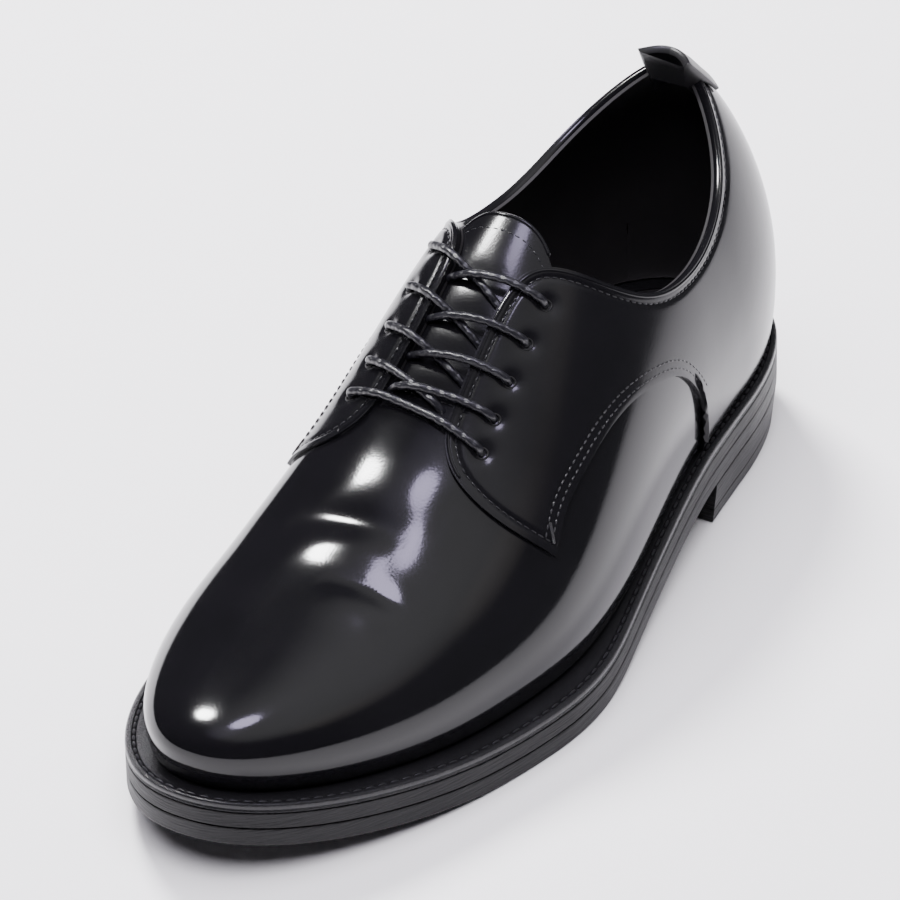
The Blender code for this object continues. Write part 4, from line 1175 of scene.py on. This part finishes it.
@dataclass
class Bottom:
    """Welt, midsole, outsole, heel and insole under the upper."""

    count: int = 360
    ring: float = 0.0060
    lines: int = 5
    taper: float = 0.0014
    # Inset of the welt's stitch line and how deep the stitches lie under its top
    stitch_line: float = 0.0025
    stitch_depth: float = 0.0003
    stitch: Stitching = field(default_factory=lambda: Stitching(0.0040, 0.0030, 0.00042, 0.00005))

    def plate(self, name: str, loops: Sequence[Array], heights: Array, finish: Finish, slot: str,
              node: str) -> None:
        """Closed plate that follows the sole's rocker.

        Args:
            name: The piece's name.
            loops: Closed loops round its side, from the bottom up.
            heights: Height of each loop over the tread line.
            finish: Its material.
            slot: Its material slot.
            node: CAD node that it stands for.
        """
        stack, section, half = np.array(loops), len(loops), self.count // 2
        around = 2 * section

        def place(u: Array, v: Array) -> Array:
            """Points round the plate's section, from the toe to the heel."""
            i = np.rint(u * half).astype(int)
            j = np.rint(v * around).astype(int) % around
            k = np.where(j < section, j, around - 1 - j)
            at = np.where(j < section, i, (self.count - i) % self.count)
            return LAST.settle(stack[k, at], heights[k])

        dress(lay_grid(name, half, around, place), finish, slot, node)

    def side_loops(self, profile: Sequence[tuple[float, float]]) -> tuple[list[Array], Array]:
        """Loops and heights of a side, for pairs of inset and height."""
        insets, heights = np.array(profile).T
        return [LAST.sole_loop(inset, self.count) for inset in insets], heights

    def ribbed(self, base: float, thickness: float, rib: float, soft: float) -> list[tuple]:
        """Side of a plate with soft edges and shallow lines cut along it."""
        edge = ((0.004, 0.0), (soft * 0.9, 0.0), (soft * 0.3, soft * 0.25), (0.0, soft))
        profile = [(inset, base + height) for inset, height in edge]
        for i in range(1, 2 * self.lines):
            height = base + soft + (thickness - 2 * soft) * i / (2 * self.lines)
            profile.append((rib if i % 2 else 0.0, height))
        return profile + [(inset, base + thickness - height) for inset, height in edge[::-1]]

    def build(self) -> None:
        """All layers of the bottom, from the floor up."""
        base = LAST.outsole + LAST.gap
        tread = self.side_loops(self.ribbed(0.0, LAST.outsole, 0.00005, 0.0006))
        self.plate("outsole_tread", *tread, SOLE_RUBBER, "outsole_rubber", "outsole")
        layer = self.side_loops(self.ribbed(base, LAST.midsole, 0.00007, 0.0004))
        self.plate("midsole_layer", *layer, CUT_RUBBER, "midsole_rubber", "midsole")
        base += LAST.midsole + LAST.gap
        self.build_welt(base)
        self.build_heel()
        self.build_insole(base)

    def build_welt(self, base: float) -> None:
        """Welt ring with a groove for its stitches and a rounded, ribbed rim."""
        top = LAST.welt
        profile = (
            (0.0002, 0.0), (0.0, 0.0004), (0.00025, 0.0009), (0.0, 0.0014), (0.00005, top - 0.0006),
            (0.0004, top - 0.00015), (0.0010, top), (0.0017, top), (0.0021, top - 0.0006),
            (0.0029, top - 0.0006), (0.0033, top), (0.0046, top),
        )
        outer, heights = self.side_loops(profile)
        inner = [LAST.inner_loop(inset, self.count) for inset in (0.0004, self.ring, self.ring)]
        loops, heights = np.array(outer + inner), base + np.append(heights, (top, top, 0.0))
        section = len(loops)

        def place(u: Array, v: Array) -> Array:
            """Points round the ring's section, all round the shoe."""
            i = np.rint(u * self.count).astype(int) % self.count
            j = np.rint(v * section).astype(int) % section
            return LAST.settle(loops[j, i], heights[j])

        dress(lay_grid("welt_ring", self.count, section, place), WELT_PVC, "welt", "welt", angle=50)
        loop = LAST.sole_loop(self.stitch_line, 2 * self.count)
        loop = LAST.settle(loop, base + top - self.stitch_depth)
        loop = np.concatenate([loop, loop[:1]])
        self.stitch.sew("welt_stitches", loop, np.tile((0.0, 0.0, 1.0), (len(loop), 1)), "welt")

    def build_heel(self) -> None:
        """Heel block, straight across at the front, with the line of its top lift."""
        breast = float(LAST.y(LAST.breast) - LAST.middle[1])
        top = LAST.heel_height - LAST.gap
        heights = (0.0, 0.0005, 0.0045, 0.0047, 0.0049, 0.0090, top - 0.0003, top)
        insets = (0.0005, 0.0, 0.0, 0.0003, 0.0, 0.0, 0.0, 0.0002)
        rings = []
        for height, inset in zip(heights, insets):
            loop = LAST.sole_loop(inset + self.taper * (1 - height / top), self.count)
            back = int(np.argmax(loop[:, 1]))
            outer, inner = loop[:back + 1], loop[back:]
            share = np.sin(np.linspace(0, math.pi / 2, 40))
            y = breast + inset + (loop[back, 1] - breast - inset) * share
            outer_x = np.interp(y, outer[:, 1], outer[:, 0])
            inner_x = np.interp(y, inner[::-1, 1], inner[::-1, 0])
            xs = np.concatenate([outer_x, inner_x[::-1][1:]])
            ys = np.concatenate([y, y[::-1][1:]])
            rings.append(np.stack([xs, ys, np.full(len(xs), height)], -1))
        bottom, lid = rings[0] * (0, 1, 1), rings[-1] * (0, 1, 1)
        bottom[:, 0] = lid[:, 0] = (rings[0][0, 0] + rings[0][-1, 0]) / 2
        stack = np.array([bottom, *rings, lid])
        around, levels = stack.shape[1], len(stack) - 1

        def place(u: Array, v: Array) -> Array:
            """Points round the block, from the floor up, with its two flat ends."""
            i = np.rint(u * around).astype(int) % around
            return stack[np.rint(v * levels).astype(int), i]

        piece = lay_grid("heel_block", around, levels, place)
        dress(piece, SOLE_RUBBER, "outsole_rubber", "heel")

    def build_insole(self, base: float) -> None:
        """Insole inside the welt's ring, slightly dished."""
        inset = self.ring + LAST.gap
        loops = [LAST.inner_loop(inset + more, self.count) for more in (0.002, 0.0, 0.0, 0.001)]
        heights = base + np.array([0.0, 0.0003, LAST.welt - 0.0003, LAST.welt])
        self.plate("insole_board", loops, heights, LINING_CALF, "insole_leather", "insole")


@dataclass
class Studio:
    """Camera at the photograph's angle, plain pale floor and soft studio light."""

    azimuth: float = 32.292
    elevation: float = 33.108
    roll: float = -2.184
    target: tuple[float, float, float] = (-0.061698, -0.005693, 0.040)
    distance: float = 1.98189
    lens: float = 202.28
    zoom: float = 1.36
    aim: tuple[float, float, float] = (-0.0085, -0.0018, 0.0517)

    FIELDS = (
        # pale fields: azimuth, elevation, full and faded radius in degrees, strength, colour
        (0, 90, 60, 180, 0.05, "#c9c6d2"),
        (140, 74, 8, 38, 1.6, "#dcdcdc"),
        (104, 50, 2, 11, 0.45, "#e0d2c0"),
        (150, 12, 20, 75, 0.22, "#c9ccd0"),
        (-60, 82, 2, 16, 0.8, "#b9b0d6"),
    )
    LAMPS = (
        # name, azimuth, elevation, distance, size, watts, colour, mirrored by the leather
        ("glint", -98, 60, 0.60, (0.095, 0.095), 5.0, "#ffffff", True),
        ("softbox", -120, 87, 0.65, (0.16, 0.14), 1.6, "#cfc6ea", True),
        ("key", -129, 50, 1.60, (0.42, 0.42), 66.0, "#ffffff", False),
        ("fill", 20, 78, 2.20, (2.6, 2.6), 125.0, "#f8f6fc", False),
    )

    def place_camera(self) -> None:
        """Camera where the photograph was taken from, turned to the one shoe."""
        back = self.direction(self.azimuth, self.elevation)
        spot = Vector(self.target) - Vector(LAST.middle) + back * self.distance
        right = (-back).cross(Vector((0, 0, 1))).normalized()
        level_up = right.cross(-back)
        turn = math.radians(self.roll)
        up = level_up * math.cos(turn) - right * math.sin(turn)
        ahead = (Vector(self.aim) - spot).normalized()
        right = ahead.cross(up).normalized()
        up = right.cross(ahead)
        data = bpy.data.cameras.new("camera")
        data.lens = self.lens * self.zoom
        data.sensor_width = 36.0
        camera = link("camera", data)
        frame = Matrix((right, up, -ahead)).transposed().to_4x4()
        frame.translation = spot
        camera.matrix_world = frame
        bpy.context.scene.camera = camera

    def direction(self, azimuth: float, elevation: float) -> Vector:
        """Unit vector towards a place round the shoe; 0 is in front of the toe."""
        a, e = math.radians(azimuth), math.radians(elevation)
        return Vector((math.sin(a) * math.cos(e), -math.cos(a) * math.cos(e), math.sin(e)))

    def paint(self) -> None:
        """Dark room with soft pale fields, as the polished leather mirrors it."""
        world = bpy.data.worlds.new("studio")
        bpy.context.scene.world = world
        world.use_nodes = True
        tree = world.node_tree
        place = add_node(tree, "ShaderNodeTexCoord").outputs["Generated"]
        total = None
        for azimuth, elevation, inner, outer, strength, colour in self.FIELDS:
            near = add_node(tree, "ShaderNodeVectorMath", {"operation": "DOT_PRODUCT"},
                            {1: self.direction(azimuth, elevation)}, {0: place})
            ramp = add_node(tree, "ShaderNodeMapRange", {"interpolation_type": "SMOOTHSTEP"},
                            {"From Min": math.cos(math.radians(outer)),
                             "From Max": math.cos(math.radians(inner)), "To Max": strength},
                            {"Value": near.outputs["Value"]})
            glow = add_node(tree, "ShaderNodeVectorMath", {"operation": "SCALE"},
                            {0: linear(colour)[:3]}, {"Scale": ramp.outputs[0]}).outputs[0]
            if total:
                glow = add_node(tree, "ShaderNodeVectorMath", {"operation": "ADD"}, None,
                                {0: total, 1: glow}).outputs[0]
            total = glow
        tree.links.new(total, tree.nodes["Background"].inputs["Color"])

    def light(self, name: str, azimuth: float, elevation: float, distance: float, size: tuple,
              power: float, colour: str, seen: bool) -> None:
        """Area light that looks at the shoe.

        Args:
            name: The light's name.
            azimuth: Where it stands; 0 is in front of the toe, 90 the outer side.
            elevation: Height of its direction over the floor, in degrees.
            distance: Metres from the shoe.
            size: Its width and height.
            power: Watts.
            colour: sRGB hex value.
            seen: Whether the leather mirrors it. A light that isn't mirrored only
                lights the floor and the matt surfaces.
        """
        way = self.direction(azimuth, elevation)
        data = bpy.data.lights.new(name, "AREA")
        data.shape = "ELLIPSE"
        data.size, data.size_y = size
        data.energy = power
        data.color = linear(colour)[:3]
        lamp = link(name, data)
        lamp.location = Vector((0, -0.03, 0.06)) + way * distance
        lamp.rotation_mode = "QUATERNION"
        lamp.rotation_quaternion = (-way).to_track_quat("-Z", "Y")
        lamp.visible_glossy, lamp.visible_diffuse = seen, not seen

    def build(self) -> None:
        """Floor, world, lights and camera."""
        deselect()
        bpy.ops.mesh.primitive_plane_add(size=8, location=(0, 0, -0.00005))
        floor = bpy.context.object
        floor.name = "floor"
        floor.data.materials.append(PAPER.material())
        self.paint()
        for settings in self.LAMPS:
            self.light(*settings)
        self.place_camera()


def main() -> None:
    """Build the shoe in order."""
    logging.basicConfig(level=logging.INFO, format="%(message)s")
    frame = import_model()
    log.info("frame %s", sorted(frame["nodes"]))
    Bottom().build()
    Vamp().build()
    for quarter in (Quarter("outer", LATERAL_TOPLINE, LATERAL_ARC, LATERAL_EYELETS),
                    Quarter("inner", MEDIAL_TOPLINE, MEDIAL_ARC, MEDIAL_EYELETS)):
        quarter.build()
    Tongue().build()
    PullTab().build()
    Lacing().build()
    Studio().build()


if __name__ == "__main__":
    main()
